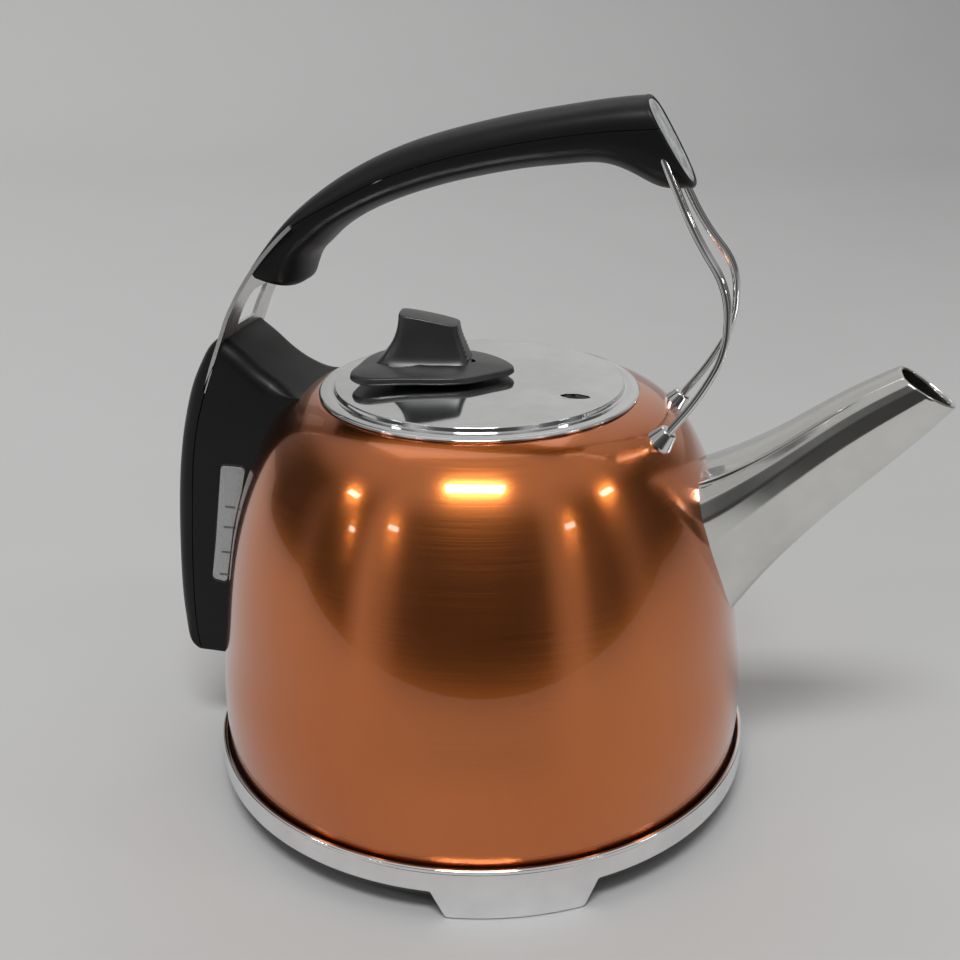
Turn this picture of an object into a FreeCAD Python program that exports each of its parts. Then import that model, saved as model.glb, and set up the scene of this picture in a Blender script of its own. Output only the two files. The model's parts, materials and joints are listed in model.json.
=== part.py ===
import FreeCAD, Part
import math
import os

# Cordless dome kettle on a round power base.  Millimetres, +Z up, floor at
# z = 0, kettle axis on the Z axis, spout towards +X, control housing
# towards -X.

V = FreeCAD.Vector

# ---------------------------------------------------------------- dimensions
BASE_R = 103.0            # outer radius of the chrome base ring
BASE_RING_LOW = 10.2      # lower edge of the ring between the feet
BASE_RING_TOP = 18.6      # top of the ring's straight wall, under its bead
BASE_WALL = 1.2
FOOT_CENTRES = (-69.0, 51.0, 171.0)   # degrees
FOOT_HALF_TOP = 16.1      # degrees, where a foot leaves the ring
FOOT_HALF_LOW = 13.3      # degrees, along the floor edge
BASE_PLATE_Z = 12.6       # underside of the base's top plate
BASE_PLATE_T = 2.2
PAN_LOW = 4.2             # underside of the base pan

BODY_BOTTOM = 18.6        # lower edge of the copper shell
BODY_T = 1.0
BODY_PROFILE = [          # outer radius, height
    (100.0, 18.6), (100.4, 27.0), (100.5, 36.0), (99.9, 48.0), (97.9, 63.5),
    (95.7, 81.5), (92.9, 98.0), (89.6, 111.0), (85.5, 123.0), (81.2, 132.7),
    (76.2, 141.0), (70.2, 147.2), (63.5, 151.1), (58.4, 152.9)]
NECK_R = 55.4             # inside radius of the mouth's rolled neck
NECK_LOW = 143.0
MOUTH_TOP = 153.0

LID_R = 58.1
LID_RIM_Z = 153.5
LID_STEP_R = 52.2         # radius where the dome meets the rim band
LID_STEP = 155.7
LID_DOME = 158.2
LID_T = 0.9
LINER_R = 53.6
LINER_LOW = 145.2
KNOB_C = (-20.0, -1.6)    # centre of the grip fin
KNOB_ANGLE = 9.0          # degrees, the fin's long axis from +X
KNOB_FLANGE_Z = 159.3     # underside of the flange
KNOB_OUTLINE = [          # flange outline seen from above
    (13.3, -1.0), (8.4, -8.4), (1.1, -16.0), (-11.4, -21.0), (-25.4, -24.2), (-36.5, -26.2), (-41.0, -22.8),
    (-42.8, -11.0), (-42.6, 1.0), (-39.0, 10.6), (-30.0, 16.0), (-17.0, 18.0), (-4.3, 16.2), (4.5, 11.0),
    (11.0, 4.2)]
VENT_C = (37.8, -12.6)

ROD_D = 2.5
ROD_PITCH = 2.7
ROD_PATH = [              # x, |y|, z from inside the handle to the foot
    (63.4, 9.2, 239.5), (75.9, 12.6, 214.2), (88.2, 18.8, 198.0),
    (88.6, 20.6, 178.0), (80.6, 21.0, 161.6), (68.9, 21.0, 145.9)]

PLATE_T = 1.4
PLATE_HALF = 20.0
PLATE_PATH = [(-61.6, 212.6), (-68.7, 206.0), (-74.4, 199.8), (-80.6, 191.8),
              (-85.3, 184.4), (-88.5, 178.6), (-91.2, 172.2), (-95.4, 162.1),
              (-99.8, 149.8)]

HOUSING_HALF = 20.0
HOUSING_WALL = 2.4
SWITCH_Z = 62.0
SWITCH_X = -112.6

os.makedirs("parts", exist_ok=True)
NODES = {}


def save(name, shape):
    if shape.ShapeType == "Compound" and len(shape.Solids) == 1:
        shape = shape.Solids[0]
    NODES[name] = shape
    shape.exportStep("parts/%s.step" % name)
    print("%-24s solids %d  valid %s  %.2f cm3" % (
        name, len(shape.Solids), shape.isValid(), shape.Volume / 1000.0))


def clean(shape):
    try:
        s = shape.removeSplitter()
        return s if s.isValid() else shape
    except Exception:
        return shape


def solids_of(shape, least=1.0):
    kept = [s for s in shape.Solids if s.Volume > least]
    return kept[0] if len(kept) == 1 else Part.makeCompound(kept)


def largest(shape):
    return max(shape.Solids, key=lambda s: s.Volume)


def spline(points, tangents=None, periodic=False):
    c = Part.BSplineCurve()
    pts = [V(*p) for p in points]
    if periodic:
        c.interpolate(Points=pts, PeriodicFlag=True)
    elif tangents:
        c.interpolate(Points=pts, InitialTangent=V(*tangents[0]),
                      FinalTangent=V(*tangents[1]))
    else:
        c.interpolate(Points=pts)
    return c


def line(a, b):
    return Part.LineSegment(V(*a), V(*b)).toShape()


def poly_face(points):
    return Part.Face(Part.makePolygon([V(*p) for p in points] + [V(*points[0])]))


def revolve_poly(rz, start=0.0, sweep=360.0):
    f = poly_face([(r, 0, z) for r, z in rz])
    if start:
        f.rotate(V(0, 0, 0), V(0, 0, 1), start)
    return f.revolve(V(0, 0, 0), V(0, 0, 1), sweep)


def ring(r_in, r_out, z0, z1):
    return revolve_poly([(r_in, z0), (r_out, z0), (r_out, z1), (r_in, z1)])


def cyl(r, h, at, axis=(0, 0, 1)):
    return Part.makeCylinder(r, h, V(*at), V(*axis))


def box(x0, x1, y0, y1, z0, z1):
    return Part.makeBox(x1 - x0, y1 - y0, z1 - z0, V(x0, y0, z0))


def xz_prism(points, half, y_mid=0.0):
    f = poly_face([(x, y_mid - half, z) for x, z in points])
    return f.extrude(V(0, 2 * half, 0))


def arc_path(points, share=0.45):
    """Straight runs joined by tangent arcs that are as large as the runs allow."""
    pts = [V(*p) for p in points]
    edges, last = [], pts[0]
    for i in range(1, len(pts) - 1):
        a, p, b = pts[i - 1], pts[i], pts[i + 1]
        d1, d2 = (p - a), (b - p)
        l1, l2 = d1.Length, d2.Length
        d1.normalize()
        d2.normalize()
        turn = d1.getAngle(d2)
        back = share * min(l1, l2)
        r = back / math.tan(turn / 2)
        s, e = p - d1 * back, p + d2 * back
        bis = d2 - d1
        bis.normalize()
        centre = p + bis * (r / math.cos(turn / 2))
        towards = p - centre
        towards.normalize()
        mid = centre + towards * r
        edges.append(Part.LineSegment(last, s).toShape())
        edges.append(Part.Arc(s, mid, e).toShape())
        last = e
    edges.append(Part.LineSegment(last, pts[-1]).toShape())
    return Part.Wire(edges)


def rod(points, d):
    path = arc_path(points)
    first = V(*points[0])
    way = V(*points[1]) - first
    way.normalize()
    circle = Part.Wire([Part.Circle(first, way, d / 2.0).toShape()])
    pipe = Part.BRepOffsetAPI.MakePipeShell(path)
    pipe.setFrenetMode(False)
    pipe.add(circle)
    pipe.build()
    pipe.makeSolid()
    s = pipe.shape()
    want = math.pi * d * d / 4 * path.Length
    assert abs(s.Volume / want - 1) < 0.01, (s.Volume, want)
    return s


def screw(at, axis, head_r=3.0, head_h=2.0, shank_r=1.5, shank=12.0):
    """Pan head at 'at', shank running along 'axis'."""
    a = V(*axis)
    a.normalize()
    p = V(*at)
    head = Part.makeCylinder(head_r, head_h, p - a * head_h, a)
    slot = Part.makeBox(head_r * 2.4, 0.8, 0.9, V(-head_r * 1.2, -0.4, 0))
    rot = FreeCAD.Rotation(V(0, 0, 1), a)
    slot.Placement = FreeCAD.Placement(p - a * head_h, rot)
    body = head.fuse(Part.makeCylinder(shank_r, shank, p, a))
    return body.cut(slot)


def hole_for(at, axis, head_r=3.0, head_h=2.0, shank_r=1.5, shank=12.0, back=6.0):
    a = V(*axis)
    a.normalize()
    p = V(*at)
    return Part.makeCylinder(head_r, head_h + back, p - a * (head_h + back), a).fuse(
        Part.makeCylinder(shank_r, shank, p, a))


# ---------------------------------------------------------------- power base
def base():
    # chrome ring: straight wall with a rounded bead along the top edge
    wall = revolve_poly([(BASE_R - BASE_WALL, BASE_RING_LOW), (BASE_R, BASE_RING_LOW),
                         (BASE_R, BASE_RING_TOP), (BASE_R - 0.25, BASE_RING_TOP + 0.7),
                         (BASE_R - 0.9, BASE_RING_TOP + 1.0), (BASE_R - 1.7, BASE_RING_TOP + 0.8),
                         (BASE_R - 2.0, BASE_RING_TOP + 0.2), (BASE_R - 2.0, BASE_RING_TOP - 1.0),
                         (BASE_R - BASE_WALL, BASE_RING_TOP - 1.0)])
    feet = []
    for c in FOOT_CENTRES:
        sector = revolve_poly([(BASE_R - BASE_WALL, 0.0), (BASE_R, 0.0),
                               (BASE_R, BASE_RING_LOW + 0.5), (BASE_R - BASE_WALL, BASE_RING_LOW + 0.5)],
                              c - FOOT_HALF_TOP - 2, 2 * FOOT_HALF_TOP + 4)
        # slanted ends: a trapezium seen from outside, cut with a radial wedge
        wt = 110 * math.tan(math.radians(FOOT_HALF_TOP))
        wl = 110 * math.tan(math.radians(FOOT_HALF_LOW))
        zt, zl = BASE_RING_LOW + 0.6, 0.0
        near = 0.02
        wires = []
        for k in (near, 1.0):
            pts = [V(110 * k, -wl * k, zl - 1), V(110 * k, wl * k, zl - 1),
                   V(110 * k, wl * k, zl + 0.6), V(110 * k, wt * k, zt - 0.9), V(110 * k, wt * k * 1.03, zt + 0.2),
                   V(110 * k, -wt * k * 1.03, zt + 0.2), V(110 * k, -wt * k, zt - 0.9), V(110 * k, -wl * k, zl + 0.6)]
            wires.append(Part.makePolygon(pts + [pts[0]]))
        wedge = Part.makeLoft(wires, True, True)
        wedge.rotate(V(0, 0, 0), V(0, 0, 1), c)
        feet.append(sector.common(wedge))
    skirt = wall
    for f in feet:
        skirt = skirt.fuse(f)
    inlet_angle = 100.0
    notch = box(94, 112, -5.2, 5.2, 2.0, 13.2)
    notch.rotate(V(0, 0, 0), V(0, 0, 1), inlet_angle)
    skirt = clean(skirt.cut(notch))
    save("base_skirt", largest(skirt))

    rin = BASE_R - BASE_WALL
    # top plate: shallow dished tray with a raised collar round the connector
    plate = revolve_poly([(19.0, BASE_PLATE_Z), (rin, BASE_PLATE_Z),
                          (rin, BASE_PLATE_Z + 3.4), (rin - 1.0, BASE_PLATE_Z + 3.4),
                          (rin - 2.4, BASE_PLATE_Z + BASE_PLATE_T),
                          (26.0, BASE_PLATE_Z + BASE_PLATE_T - 1.0),
                          (24.5, BASE_PLATE_Z + BASE_PLATE_T - 1.0),
                          (19.0, BASE_PLATE_Z + BASE_PLATE_T - 1.0)])
    for a in (0, 60, 120, 180, 240, 300):
        plate = plate.cut(cyl(1.2, 6, (92 * math.cos(math.radians(a)), 92 * math.sin(math.radians(a)), 11)))
    save("base_top_plate", plate)

    # pan: floor, upstand inside the ring, foot blocks and screw bosses
    pan = revolve_poly([(0.001, PAN_LOW), (97.0, PAN_LOW), (100.6, PAN_LOW + 3.2),
                        (rin, PAN_LOW + 6.0), (rin, BASE_PLATE_Z), (rin - 2.0, BASE_PLATE_Z),
                        (rin - 2.0, PAN_LOW + 6.4), (98.4, PAN_LOW + 4.6),
                        (96.0, PAN_LOW + 2.0), (0.001, PAN_LOW + 2.0)])
    blocks = []
    for c in FOOT_CENTRES:
        b = revolve_poly([(88.0, 2.0), (99.6, 2.0), (99.6, PAN_LOW + 2.5), (88.0, PAN_LOW + 2.5)],
                         c - 12.0, 24.0)
        blocks.append(b)
    for b in blocks:
        pan = pan.fuse(b)
    boss_at = [(60 * math.cos(math.radians(a)), 60 * math.sin(math.radians(a))) for a in (30, 150, 270)]
    for x, y in boss_at:
        pan = pan.fuse(cyl(4.0, BASE_PLATE_Z - PAN_LOW - 1.0, (x, y, PAN_LOW + 1.0)))
    pan = pan.cut(cyl(17.0, 12, (0, 0, PAN_LOW + 2.0)))
    inlet = box(86, 106, -4.6, 4.6, PAN_LOW - 0.8, BASE_PLATE_Z)
    inlet.rotate(V(0, 0, 0), V(0, 0, 1), inlet_angle)
    pan = pan.cut(inlet)
    screws = [screw((x, y, PAN_LOW + 1.8), (0, 0, 1), 3.0, 1.6, 1.4, 8.2) for x, y in boss_at]
    for x, y in boss_at:
        pan = pan.cut(hole_for((x, y, PAN_LOW + 1.8), (0, 0, 1), 3.0, 1.6, 1.4, 8.2))
    save("base_pan", clean(pan))
    plate = NODES["base_top_plate"]
    for s in screws:
        plate = plate.cut(s)
    save("base_top_plate", plate)
    save("base_screws", Part.makeCompound(screws))

    pads = []
    for c in FOOT_CENTRES:
        p = revolve_poly([(89.5, 0.0), (98.4, 0.0), (99.0, 0.6), (99.0, 2.0), (89.0, 2.0), (89.0, 0.6)],
                         c - 10.5, 21.0)
        pads.append(p)
    pads.append(cyl(12.0, PAN_LOW, (0, 0, 0)))
    save("base_foot_pads", Part.makeCompound(pads))

    # 360 degree connector: stepped post with a coaxial contact slot
    post = revolve_poly([(3.6, 6.4), (16.6, 6.4), (16.6, 10.4), (18.8, 10.4), (18.8, 13.6),
                         (15.6, 13.6), (15.6, 23.6), (14.4, 24.8), (11.6, 24.8), (11.6, 14.0),
                         (9.6, 14.0), (9.6, 24.0), (8.6, 24.8), (3.6, 24.8)])
    save("base_connector", post)
    save("base_contacts", Part.makeCompound([ring(10.9, 11.6, 14.0, 22.0), ring(3.1, 3.6, 8.0, 22.0)]))

    # cord inlet: bush clamped between pan and top plate
    bush = box(87.5, 103.4, -4.4, 4.4, PAN_LOW - 0.4, BASE_PLATE_Z - 0.2)
    bush = bush.fuse(box(103.4, 105.0, -5.0, 5.0, PAN_LOW - 0.8, BASE_PLATE_Z + 0.2))
    bush = bush.cut(cyl(3.5, 30, (80, 0, (PAN_LOW + BASE_PLATE_Z) / 2 - 0.3), (1, 0, 0)))
    bush.rotate(V(0, 0, 0), V(0, 0, 1), inlet_angle)
    save("cord_inlet_bush", bush)

    # slip ring that turns on the connector's shoulder and carries the kettle
    slip = ring(19.4, 25.6, 14.2, 15.1)
    save("slip_ring", slip)


# ---------------------------------------------------------------- kettle body
def body_outer_curve():
    pts = [(r, 0, z) for r, z in BODY_PROFILE]
    return spline(pts)


def body_solid(grow=0.0):
    """The space inside the outer surface of the copper shell, closed at the top."""
    c = body_outer_curve()
    pts = []
    n = 60
    for i in range(n + 1):
        u = c.FirstParameter + (c.LastParameter - c.FirstParameter) * i / n
        p, t = c.value(u), V(*c.tangent(u)[0])
        nrm = V(t.z, 0, -t.x)
        nrm.normalize()
        q = p + nrm * grow
        pts.append((q.x, 0, q.z))
    if grow:
        oc = spline([pts[i] for i in range(0, n + 1, 4)])
    else:
        oc = c
    a, b = oc.value(oc.FirstParameter), oc.value(oc.LastParameter)
    edges = [oc.toShape(), line((b.x, 0, b.z), (0, 0, b.z)),
             line((0, 0, b.z), (0, 0, a.z)), line((0, 0, a.z), (a.x, 0, a.z))]
    return Part.Face(Part.Wire(edges)).revolve(V(0, 0, 0), V(0, 0, 1), 360)


def inner_curve(t):
    c = body_outer_curve()
    pts = []
    n = 48
    for i in range(n + 1):
        u = c.FirstParameter + (c.LastParameter - c.FirstParameter) * i / n
        p, tg = c.value(u), V(*c.tangent(u)[0])
        nrm = V(-tg.z, 0, tg.x)
        nrm.normalize()
        q = p + nrm * t
        pts.append((q.x, 0, q.z))
    pts[0] = (pts[0][0], 0, BODY_BOTTOM)
    return spline([pts[i] for i in range(0, n + 1, 4)])


def radius_at(z, t=0.0):
    pr = BODY_PROFILE
    for (r0, z0), (r1, z1) in zip(pr, pr[1:]):
        if z0 <= z <= z1:
            return r0 + (r1 - r0) * (z - z0) / (z1 - z0) - t
    return pr[-1][0] - t


# spout: stations along X with the roof height, keel height and half-width
SPOUT = [(76.0, 128.6, 46.8, 22.0), (88.0, 133.6, 62.8, 21.2), (97.0, 138.5, 77.0, 19.4),
         (106.0, 144.2, 91.0, 17.4), (116.0, 151.4, 104.4, 15.4), (126.0, 158.7, 116.4, 13.7),
         (136.0, 165.2, 127.6, 12.2), (146.0, 170.9, 138.4, 10.9), (156.0, 176.0, 149.7, 9.9),
         (166.0, 180.3, 162.0, 9.0)]
MOUTH_A = (143.6, 170.6)   # mouth plane: back end of the roof
MOUTH_B = (163.7, 158.8)   # mouth plane: tip of the lip


def spout_section(x, z_top, z_low, w):
    vm = 0.73
    h = z_top - z_low
    right = []
    for s in (0.03, 0.12, 0.28, 0.5, 0.75, 1.0):
        f = 0.5 * (math.sqrt(1 - (1 - s) ** 2) + 1 - (1 - s) ** 1.9)
        right.append((f, s * vm))
    for k in (0.30, 0.58, 0.80, 0.93, 0.99):
        f = (1 - k ** 2.7) ** (1 / 2.3)
        right.append((f, vm + k * (1 - vm)))
    pts = [V(x, 0, z_low)]
    pts += [V(x, -w * f, z_low + h * v) for f, v in right]
    pts += [V(x, 0, z_top)]
    pts += [V(x, w * f, z_low + h * v) for f, v in reversed(right)]
    c = Part.BSplineCurve()
    c.interpolate(Points=pts, PeriodicFlag=True)
    return Part.Wire([c.toShape()])


def spout_loft(t, stations=SPOUT):
    wires = []
    for x, zt, zl, w in stations:
        wires.append(spout_section(x, zt - 1.25 * t, zl + 1.6 * t, w - 1.05 * t))
    return Part.makeLoft(wires, True, False)


def spout_parts(outer_body):
    outer = spout_loft(0.0)
    inner = spout_loft(1.1)
    dx, dz = MOUTH_B[0] - MOUTH_A[0], MOUTH_B[1] - MOUTH_A[1]
    n = math.hypot(dx, dz)
    dx, dz = dx / n, dz / n
    a = (MOUTH_A[0] - 60 * dx, MOUTH_A[1] - 60 * dz)
    b = (MOUTH_B[0] + 60 * dx, MOUTH_B[1] + 60 * dz)
    above = xz_prism([a, b, (b[0] + 80, b[1] + 120), (a[0] + 60, a[1] + 160)], 60)
    spout = outer.cut(inner).cut(above).cut(outer_body)
    spout = largest(spout)
    return spout, spout_loft(3.2)


def body():
    outer = body_solid()
    oc, ic = body_outer_curve(), inner_curve(BODY_T)
    top = oc.value(oc.LastParameter)
    ti = ic.value(ic.LastParameter)
    ai = ic.value(ic.FirstParameter)
    # the mouth's rolled neck is a ring of its own, brazed into the shell
    join_r = 57.2
    join_z = ti.z - 0.1
    save("mouth_collar", revolve_poly([(join_r, MOUTH_TOP), (55.9, MOUTH_TOP - 0.6), (NECK_R, MOUTH_TOP - 2.0),
                                       (NECK_R, NECK_LOW), (NECK_R + 0.9, NECK_LOW), (NECK_R + 0.9, 151.2),
                                       (join_r, join_z)]))
    edges = [oc.toShape(),
             line((top.x, 0, top.z), (join_r, 0, MOUTH_TOP)),
             line((join_r, 0, MOUTH_TOP), (join_r, 0, join_z)),
             line((join_r, 0, join_z), (ti.x, 0, ti.z)),
             ic.toShape(),
             line((ai.x, 0, ai.z), (100.0, 0, BODY_BOTTOM))]
    wire = Part.Wire(Part.__sortEdges__(edges))
    shell = Part.Face(wire).revolve(V(0, 0, 0), V(0, 0, 1), 360)

    spout, bore = spout_parts(outer)
    shell = shell.cut(bore.common(box(60, 120, -40, 40, 40, 160)))

    # strainer: curved plate behind the spout, with rows of round holes
    c2, c3 = inner_curve(BODY_T + 0.05), inner_curve(BODY_T + 0.75)
    a, b = c2.value(c2.FirstParameter), c2.value(c2.LastParameter)
    p, q = c3.value(c3.FirstParameter), c3.value(c3.LastParameter)
    band = Part.Face(Part.Wire(Part.__sortEdges__([c2.toShape(), line((b.x, 0, b.z), (q.x, 0, q.z)),
                                                    c3.toShape(), line((p.x, 0, p.z), (a.x, 0, a.z))])))
    band.rotate(V(0, 0, 0), V(0, 0, 1), -15.5)
    band = band.revolve(V(0, 0, 0), V(0, 0, 1), 31)
    band = band.common(box(60, 110, -40, 40, 66, 130))
    holes = []
    for i, z in enumerate(range(74, 126, 6)):
        wide = 4.5 + (z - 74) * 0.28
        n = int(wide // 4.6)
        for k in range(-n, n + 1):
            y = k * 4.6 + (2.3 if i % 2 else 0.0)
            if abs(y) < wide:
                holes.append(cyl(1.5, 60, (60, y, z), (1, 0, 0)))
    band = band.cut(Part.makeCompound(holes))
    save("spout_strainer", largest(band))
    save("spout", spout)
    return outer, shell


def kettle_floor():
    # stainless floor plate with a turned-up edge, brazed into the shell
    ri = 99.0
    floor = revolve_poly([(0.001, 31.0), (93.0, 31.0), (ri - 0.95, 33.0), (ri - 0.95, 39.0), (ri - 0.15, 39.0),
                          (ri - 0.15, 32.4), (93.6, 30.0), (0.001, 30.0)])
    save("floor_plate", floor)
    # heating element: horseshoe bar under the floor plate, with two cold ends
    spread = revolve_poly([(44.0, 27.2), (76.0, 27.2), (76.0, 30.0), (44.0, 30.0)])
    save("heat_spreader", spread)
    bar = revolve_poly([(56.0, 21.2), (64.0, 21.2), (64.0, 27.2), (56.0, 27.2)], 18.0, 324.0)
    for s in (1, -1):
        a = math.radians(18.0 * s)
        bar = bar.fuse(cyl(2.2, 12, (60 * math.cos(a) - 1.0, 60 * math.sin(a) - 0.4 * s, 24.2),
                           (-math.cos(a), -math.sin(a), 0)))
    save("heating_element", largest(bar))
    # dry-boil control with the 360 degree socket in the middle
    block = box(-26, 26, -24, 24, 25.6, 29.6).fuse(box(20.0, 40.0, -7.0, 7.0, 20.0, 29.6))
    block = block.fuse(ring(18.0, 23.0, 17.0, 26.4))
    block = block.cut(cyl(18.0, 10.6, (0, 0, 15.0))).cut(box(36.5, 41, -7.1, 7.1, 19, 27.4))
    save("control_block", largest(block))
    # socket: outer sleeve round the post, middle ring in its slot, centre pin
    socket = revolve_poly([(16.2, 15.6), (18.0, 15.6), (18.0, 25.6), (0.001, 25.6), (0.001, 25.4), (16.2, 25.4)])
    save("kettle_socket", socket)
    save("socket_contacts", Part.makeCompound([cyl(2.6, 14.4, (0, 0, 11.0)), ring(9.95, 10.55, 16.0, 25.4)]))
    # bottom cover and the black collar that shows as a groove above the base
    cover = revolve_poly([(24.0, 15.5), (96.0, 15.5), (97.6, 16.6), (97.6, 19.6), (96.0, 19.6),
                          (95.4, 17.4), (26.0, 17.4), (26.0, 19.0), (24.0, 19.0)])
    bosses = [(82 * math.cos(math.radians(a)), 82 * math.sin(math.radians(a))) for a in (90, 210, 330)]
    for x, y in bosses:
        cover = cover.fuse(cyl(4.0, 11.0, (x, y, 17.0)))
    for x, y in bosses:
        cover = cover.cut(hole_for((x, y, 18.2), (0, 0, 1), 2.9, 1.6, 1.4, 11.8))
    save("bottom_cover", clean(cover))
    save("bottom_screws", Part.makeCompound([screw((x, y, 18.2), (0, 0, 1), 2.9, 1.6, 1.4, 11.6) for x, y in bosses]))
    collar = revolve_poly([(97.6, 16.0), (98.6, 15.6), (99.2, 16.2), (99.2, 18.6), (99.0, 18.6),
                           (99.0, 24.0), (97.6, 24.0)])
    save("bottom_collar", collar)


# ---------------------------------------------------------------- housing
def housing(outer_body, plate):
    rear = [(-113.5, 38.4), (-117.6, 41.2), (-119.9, 48.0), (-120.6, 58.6), (-119.9, 78.9), (-118.3, 98.7),
            (-115.9, 117.8), (-113.5, 130.4), (-110.3, 142.7), (-106.4, 153.6), (-102.4, 161.4),
            (-97.8, 168.0), (-92.6, 171.6)]
    horn = [(-89.6, 169.0), (-84.6, 165.2), (-78.9, 160.2), (-70.7, 154.9), (-64.4, 151.6), (-56.0, 148.5)]

    def region(d, y, lift=0.0):
        """Closed XZ region with the outline moved in by d."""
        rc = spline([(x, y, z) for x, z in rear])
        hc = spline([(x, y, z) for x, z in horn])

        def moved(c, n, side):
            out = []
            for i in range(n + 1):
                u = c.FirstParameter + (c.LastParameter - c.FirstParameter) * i / n
                p, t = c.value(u), V(*c.tangent(u)[0])
                nr = V(t.z, 0, -t.x) * side
                nr.normalize()
                out.append(p + nr * d)
            return out
        a = moved(rc, 14, 1)
        b = moved(hc, 8, 1)
        if d:
            a = [p for p in a if p.z < 169.5 - d * 1.4] or a
            b = [p for p in b if p.x > -88.0 + d * 0.8]
        ca = spline([(p.x, y, p.z) for p in a])
        cb = spline([(p.x, y, p.z) for p in b])
        s, e = ca.value(ca.FirstParameter), ca.value(ca.LastParameter)
        s2, e2 = cb.value(cb.FirstParameter), cb.value(cb.LastParameter)
        low = 38.4 + d
        edges = [ca.toShape(), line((e.x, y, e.z), (s2.x, y, s2.z)), cb.toShape(),
                 line((e2.x, y, e2.z), (-50.0 if not d else e2.x, y, 120.0)),
                 line((-50.0 if not d else e2.x, y, 120.0), (-80.0, y, low)),
                 line((-80.0, y, low), (s.x, y, low))]
        if abs(s.z - low) > 1e-6:
            edges.append(line((s.x, y, low), (s.x, y, s.z)))
        return Part.Face(Part.Wire(Part.__sortEdges__(edges)))

    h = HOUSING_HALF
    solid = region(0.0, -h).extrude(V(0, 2 * h, 0))
    rounded = None
    for r in (6.5, 5.0, 3.5, 2.0):
        es = []
        for e in solid.Edges:
            if e.Length < 3:
                continue
            ys = [v.Y for v in e.Vertexes]
            c = e.CenterOfMass
            if min(abs(y) for y in ys) > h - 0.01 and abs(ys[0] - ys[-1]) < 0.01:
                if e.Curve.TypeId.endswith("BSplineCurve"):
                    es.append(e)
        try:
            cand = solid.makeFillet(r, es)
            if cand.isValid() and cand.Volume > 0:
                rounded = cand
                print("housing fillet", r)
                break
        except Exception as err:
            print("fillet", r, "refused")
    solid = rounded or solid
    solid = largest(solid.cut(outer_body))
    cavity = region(HOUSING_WALL, -h + HOUSING_WALL).extrude(V(0, 2 * (h - HOUSING_WALL), 0))
    shell = largest(solid.cut(cavity))

    # parting surface: down the plate, then parallel to the back
    part_line = [(-91.2 - 8 * 0.31, 180.0), (-91.2, 172.2), (-95.4, 162.1), (-99.8, 149.8), (-103.4, 139.4),
                 (-106.6, 126.3), (-109.4, 105.9), (-111.9, 79.9), (-113.4, 60.0), (-113.6, 36.0)]
    behind = xz_prism(part_line + [(-140, 36.0), (-140, 180.0)], 30)
    plate_room = plate
    rear_cover = shell.common(behind).cut(plate_room)
    front = shell.cut(behind).cut(plate_room)

    # switch opening in the rear cover
    slot = box(-125, -106, -8.5, 8.5, SWITCH_Z - 10.6, SWITCH_Z + 10.6)
    rear_cover = rear_cover.cut(slot)
    lens_at = (-124.0, 0, SWITCH_Z + 20.0)
    lens_cut = cyl(2.6, 16, lens_at, (1, 0, 0))
    rear_cover = rear_cover.cut(lens_cut)
    lens = cyl(2.6, 6.0, (-121.1, 0, SWITCH_Z + 20.0), (1, 0, 0))
    dome = Part.makeSphere(5.0, V(-116.6, 0, SWITCH_Z + 20.0))
    lens = largest(lens.common(dome.fuse(box(-119.0, -110, -4, 4, SWITCH_Z + 12, SWITCH_Z + 28))))
    save("indicator_lens", lens)

    # windows of the water gauge in both sides of the housing
    corners = [(-96.0, 121.9), (-86.2, 121.9), (-88.2, 112.0), (-92.6, 95.0), (-95.4, 83.0), (-97.9, 71.4),
               (-104.3, 72.4), (-101.3, 90.0)]
    wins = []
    for s in (1, -1):
        w = xz_prism(corners, 1.35, s * (h - 1.65))
        cut = xz_prism(corners, 3.0, s * (h - 1.0))
        front = front.cut(cut)
        wins.append(w)
    wins = [w.cut(outer_body) for w in wins]
    save("water_windows", Part.makeCompound([largest(w) for w in wins]))

    # clear gauge chamber between the windows
    chamber = xz_prism([(-105.8, 66.0), (-99.6, 66.0), (-93.4, 98.0), (-89.4, 122.0), (-96.0, 126.0),
                        (-102.2, 98.0)], 16.4)
    chamber = chamber.cut(outer_body)
    chamber_in = xz_prism([(-104.2, 68.0), (-100.4, 68.0), (-95.4, 98.0), (-91.6, 121.0), (-94.8, 123.0),
                           (-100.6, 98.0)], 14.8)
    chamber = largest(chamber.cut(chamber_in))
    save("gauge_chamber", chamber)

    # screws that hold the rear cover to the housing, through inner lugs
    screws = []
    for z, x in ((134.0, -104.4), (44.6, -113.6)):
        screws.append(screw((x - 2.0, 0, z), (1, 0, 0), 2.6, 1.6, 1.3, 8.0))
    # cross-webs carry the lugs
    web_f, web_r = [], []
    for z, x in ((134.0, -104.4), (44.6, -113.6)):
        web_f.append(box(x + 0.2, x + 4.2, -18.4, 18.4, z - 3.4, z + 3.4).cut(outer_body))
        web_r.append(box(x - 2.0, x - 0.1, -18.4, 18.4, z - 3.4, z + 3.4))
    for w in web_f:
        front = front.fuse(w.cut(behind))
    for w in web_r:
        rear_cover = rear_cover.fuse(w.common(behind).common(solid))
    for z, x in ((134.0, -104.4), (44.6, -113.6)):
        hole = hole_for((x - 2.0, 0, z), (1, 0, 0), 2.6, 1.6, 1.3, 8.0, back=20.0)
        front = front.cut(hole)
        rear_cover = rear_cover.cut(hole)
    seat = box(SWITCH_X - 2.6, SWITCH_X + 6.4, -11.6, 11.6, SWITCH_Z - 13.0, SWITCH_Z + 13.0)
    front = front.cut(plate_room).cut(seat)
    rear_cover = rear_cover.cut(plate_room).cut(slot).cut(seat)
    save("housing_screws", Part.makeCompound([s.cut(outer_body) for s in screws]))
    save("housing_body", largest(front))
    save("housing_rear_cover", largest(rear_cover))
    return solid


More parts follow.
